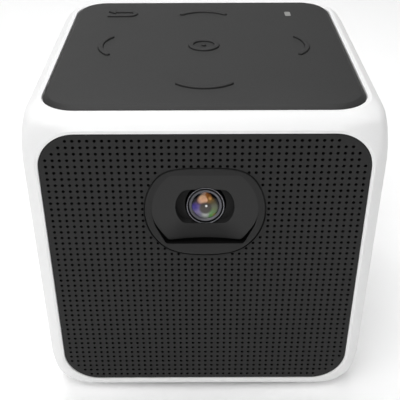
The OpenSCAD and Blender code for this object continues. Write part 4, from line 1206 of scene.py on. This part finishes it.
# %% [markdown]
# Each key is a soft moulding in one with its mark: a cap whose top edge is rounded over, so that a finger
# slides on it and the light draws a fine line along it, a flange that keeps it under the pad, and a stem over
# its switch. A bevel modifier would round the flange as well, so the rounding is written into the loops.

# %% Keys
key_low, key_high = node_box("key_ok")
KEY_TOP = shell_high[2] - key_high[2]
STEM_DEPTH = shell_high[2] - key_low[2]
STEM_RADIUS = 1.2
FLANGE_ROOM = 0.05
FLANGE_DEPTH = PAD_DEPTH + FLANGE_ROOM
FLANGE_THICKNESS = 0.7
KEY_ROUND = 0.16
DOT_RADIUS = 0.5
CREST = KEY_ROUND * quarter_round(EDGE_ROWS)[::-1]


def slab(outline, top, bottom):
    """A closed flat block between two depths below the top of the case."""
    upper, lower = stack("top", [(outline, top), (outline, bottom)])
    return [loft([upper, lower]), lid(upper), lid(lower)]


def marked_key(mark, flange, middle):
    """Rounded cap on an outline that mark gives for each growth, with its flange and its stem."""
    foot = FLANGE_DEPTH + FLANGE_THICKNESS / 2
    steps = [(mark(0), foot)] + [(mark(-inset), KEY_TOP + drop) for inset, drop in CREST]
    ends = [flat_part("top", mark(0), [], foot), flat_part("top", mark(-KEY_ROUND), [], KEY_TOP)]
    plate = slab(flange, FLANGE_DEPTH, FLANGE_DEPTH + FLANGE_THICKNESS)
    stem = slab(circle(middle, STEM_RADIUS), foot, STEM_DEPTH)
    return [loft(stack("top", steps))] + ends + plate + stem


def round_key():
    """Profile of (radius, depth) pairs turned about the pad's middle: stem, flange, disc, ring and dot."""
    base = FLANGE_DEPTH + FLANGE_THICKNESS
    inner = OK_RADIUS - LINE_WIDTH
    stem = [(POLE, STEM_DEPTH), (STEM_RADIUS, STEM_DEPTH), (STEM_RADIUS, base)]
    flange = [(OK_FLANGE, base), (OK_FLANGE, FLANGE_DEPTH), (OK_RADIUS, FLANGE_DEPTH)]
    ring = [*(CREST * (-1, 1) + (OK_RADIUS, KEY_TOP)), *(CREST[::-1] + (inner, KEY_TOP))]
    disc = [(inner, PAD_TOP), (DOT_RADIUS, PAD_TOP)]
    dot = [*(CREST * (-1, 1) + (DOT_RADIUS, KEY_TOP)), (POLE, KEY_TOP)]
    profile = stem + flange + ring + disc + dot
    rows = stack("top", [(circle((0, 0), radius, ROUND_STEPS), depth) for radius, depth in profile])
    return [loft(rows), lid(rows[0]), lid(rows[-1])]


# The keys are the pad's rubber a little darker, painted shade so that their marks stand out a little.
shaded_key_rubber = moulded("moulded_silicone_keys_painted_shade", "#242424", "#2a2a2a", 0.6, 0.2, 0.2, specular=0.4)
for name, turn in zip(("up", "left", "down", "right"), QUARTERS):
    parts = marked_key(lambda grow: bar_mark(grow) @ turn.T, bar_flange() @ turn.T, BAR_MIDDLE @ turn.T)
    make_piece(name + "_bar_key", parts, "key_" + name, [shaded_key_rubber], ["key_" + name])
back_parts = marked_key(back_mark, back_flange(), BACK_KEY)
make_piece("turn_back_key", back_parts, "key_back", [shaded_key_rubber], ["key_back"])
make_piece("round_ok_key", round_key(), "key_ok", [shaded_key_rubber], ["key_ok"])

# %% [markdown]
# The indicator is the end of a light guide, a small frosted block that is flush with the pad. A flange under
# the deck keeps it from falling out. Two flat blocks are all it needs.

# %% Indicator
guide_low, _ = node_box("light_guide")
GUIDE_CORNER = 0.6
GUIDE_THICKNESS = 0.6

# Frosted acrylic hides the lamp below: a plain pale grey while it is off.
guide_frosted = moulded("frosted_moulded_acrylic", "#8c8c8a", "#969694", 0.4, 0.3, 0.05)
guide_flange = rounded_rectangle(LAMP, GUIDE_FLANGE, GUIDE_CORNER)
guide_parts = slab(lamp_outline(), PAD_TOP, shell_high[2] - guide_low[2])
guide_parts += slab(guide_flange, WALL, WALL + GUIDE_THICKNESS)
make_piece("indicator_guide", guide_parts, "case", [guide_frosted], ["light_guide"])

# %% [markdown]
# Everything else keeps its CAD shape, because it is a turned, stamped or moulded piece with plain faces. What
# it still needs is the finish of its real material. Metals and clear glass differ from mouldings in how they
# treat light, so they have recipes of their own.

# %% Metal and glass
METAL_SPREAD = 0.08
RIPPLE_SIZE = 2
RIPPLE_SPREAD = 0.06


def metal(name, dark, light, roughness, grain):
    """A bare or plated metal: full metallic, with a grain of a given width in its tone and its roughness.
    The eye sees tinted reflections that break up a little with the grain."""
    material, tree, place = new_material(name)
    speck = add(tree, "ShaderNodeTexNoise", {"Vector": place, "Scale": per(grain), "Detail": 4.0})
    tone = add(tree, "ShaderNodeMix", {"Factor": speck.outputs[0], "A": linear(dark), "B": linear(light)},
               data_type="RGBA")
    gloss = add(tree, "ShaderNodeMapRange", {
        "Value": speck.outputs[0], "To Min": roughness - METAL_SPREAD, "To Max": roughness + METAL_SPREAD})
    surface = add(tree, "ShaderNodeBsdfPrincipled", {
        "Base Color": tone.outputs["Result"], "Roughness": gloss.outputs[0], "Metallic": 1.0})
    add(tree, "ShaderNodeOutputMaterial", {"Surface": surface.outputs[0]})
    return material


def clear_glass(name, code, roughness):
    """Polished glass: light passes with a faint tint, and a slow ripple shows in its gloss."""
    material, tree, place = new_material(name)
    ripple = add(tree, "ShaderNodeTexNoise", {"Vector": place, "Scale": per(RIPPLE_SIZE)})
    gloss = add(tree, "ShaderNodeMapRange", {
        "Value": ripple.outputs[0], "To Min": roughness, "To Max": roughness + RIPPLE_SPREAD})
    surface = add(tree, "ShaderNodeBsdfPrincipled", {
        "Base Color": linear(code), "Roughness": gloss.outputs[0], "IOR": 1.52, "Transmission Weight": 0.9})
    add(tree, "ShaderNodeOutputMaterial", {"Surface": surface.outputs[0]})
    return material


zinc_plate = metal("zinc_plated_steel", "#a9acb0", "#c3c6c9", 0.32, 0.3)
tin_plate = metal("stamped_tin_plate", "#b4b7ba", "#cfd2d4", 0.28, 0.4)
optical_glass = clear_glass("polished_optical_glass", "#dfeaf2", 0.02)
print("Plated metals and glass:", zinc_plate.name, tin_plate.name, optical_glass.name)

# %% [markdown]
# Each remaining node gets its finish from one list. Covers share the case's white, screws and pins are zinc
# plated, sockets are stamped from tin plate, boards have a green solder mask, and the heat sink is extruded.
# Inner pieces show only through the vents and the socket mouths, so their recipes are the plain ones.

# %% Finishes for the CAD nodes
finishes = {
    shaded_key_rubber: ["power_knob"],
    guide_frosted: ["status_led"],
    # The covers are the case's ABS with a slightly duller gloss.
    moulded("moulded_white_abs_covers", "#efefef", "#f6f6f6", 0.4, 0.3, 0.05): ["rear_cover", "base_cover"],
    # Rubber for feet and seals is black and nearly without highlights.
    moulded("moulded_black_rubber", "#151515", "#1c1c1c", 0.8, 0.3, 0.3, specular=0.2): [
        "feet", "speaker_gasket"],
    # Turned brass is a warm yellow with bright edges.
    metal("turned_brass", "#b08a3c", "#c9a54c", 0.3, 0.2): ["tripod_bush"],
    # Zinc plating is a cool light grey, and stamped tin plate is a little brighter and smoother.
    zinc_plate: [
        "base_screws", "rear_screws", "key_board_screws", "engine_screws", "fan_screws", "main_board_screws",
        "focus_axle", "focus_clip"],
    tin_plate: ["key_switches", "hdmi_socket", "usb_socket", "charge_socket", "power_switch"],
    # The inner frame is a matt mid grey, and solder mask a glossy dark green.
    moulded("moulded_grey_abs", "#5c6064", "#666a6e", 0.6, 0.3, 0.2): ["chassis"],
    moulded("printed_green_solder_mask", "#0f4a2c", "#17583a", 0.35, 1.2, 0.1): [
        "key_board", "main_board", "dmd_board"],
    # The light engine is a dull grey casting under a black lid.
    metal("cast_zinc_alloy", "#8f9296", "#a3a6aa", 0.55, 0.3): ["engine_housing"],
    moulded("black_painted_steel", "#161616", "#1d1d1d", 0.5, 0.25, 0.2): ["engine_cover"],
    # Nylon is a deep black with broad highlights.
    moulded("moulded_black_nylon", "#131313", "#1a1a1a", 0.5, 0.2, 0.15): [
        "focus_ring", "focus_wheel", "fan_frame", "fan_rotor", "audio_jack", "speaker_frame"],
    # Optical glass is nearly invisible but for its bright reflections.
    optical_glass: ["rear_lens", "prism", "dichroic_plates", "collimators"],
    # The three lamps are told apart by the colour of their epoxy.
    moulded("moulded_red_epoxy", "#8f2018", "#a82a20", 0.4, 0.4, 0.05): ["led_red"],
    moulded("moulded_green_epoxy", "#1e6b3c", "#278048", 0.4, 0.4, 0.05): ["led_green"],
    moulded("moulded_blue_epoxy", "#1f4488", "#28529c", 0.4, 0.4, 0.05): ["led_blue"],
    # A chip's epoxy is black with a dull shine.
    moulded("moulded_black_epoxy", "#111214", "#18191b", 0.45, 0.2, 0.15): ["dmd_chip", "main_chip"],
    # Extruded aluminium is pale and bright, and drawn copper a warm red.
    metal("extruded_aluminium", "#b9bcc0", "#d0d3d6", 0.35, 0.5): ["heat_sink"],
    metal("drawn_copper", "#a8622c", "#c07a42", 0.25, 0.4): ["heat_pipe"],
    # Shrunk vinyl has a taut gloss, and pressed paper none.
    moulded("shrunk_blue_vinyl", "#24507c", "#2c5c8c", 0.3, 2.0, 0.05): ["battery_pack"],
    moulded("pressed_black_paper", "#121212", "#1c1c1c", 0.85, 0.3, 0.5): ["speaker_cone"],
    # Smoked acrylic looks black with a deep red tinge under a hard gloss.
    moulded("smoked_moulded_acrylic", "#120607", "#1a0a0b", 0.12, 0.6, 0.02, coat=0.5): ["ir_window"],
}
for finish, nodes in finishes.items():
    for node in nodes:
        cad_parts[node].data.materials.clear()
        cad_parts[node].data.materials.append(finish)
print("Finished CAD nodes:", sum(len(nodes) for nodes in finishes.values()))
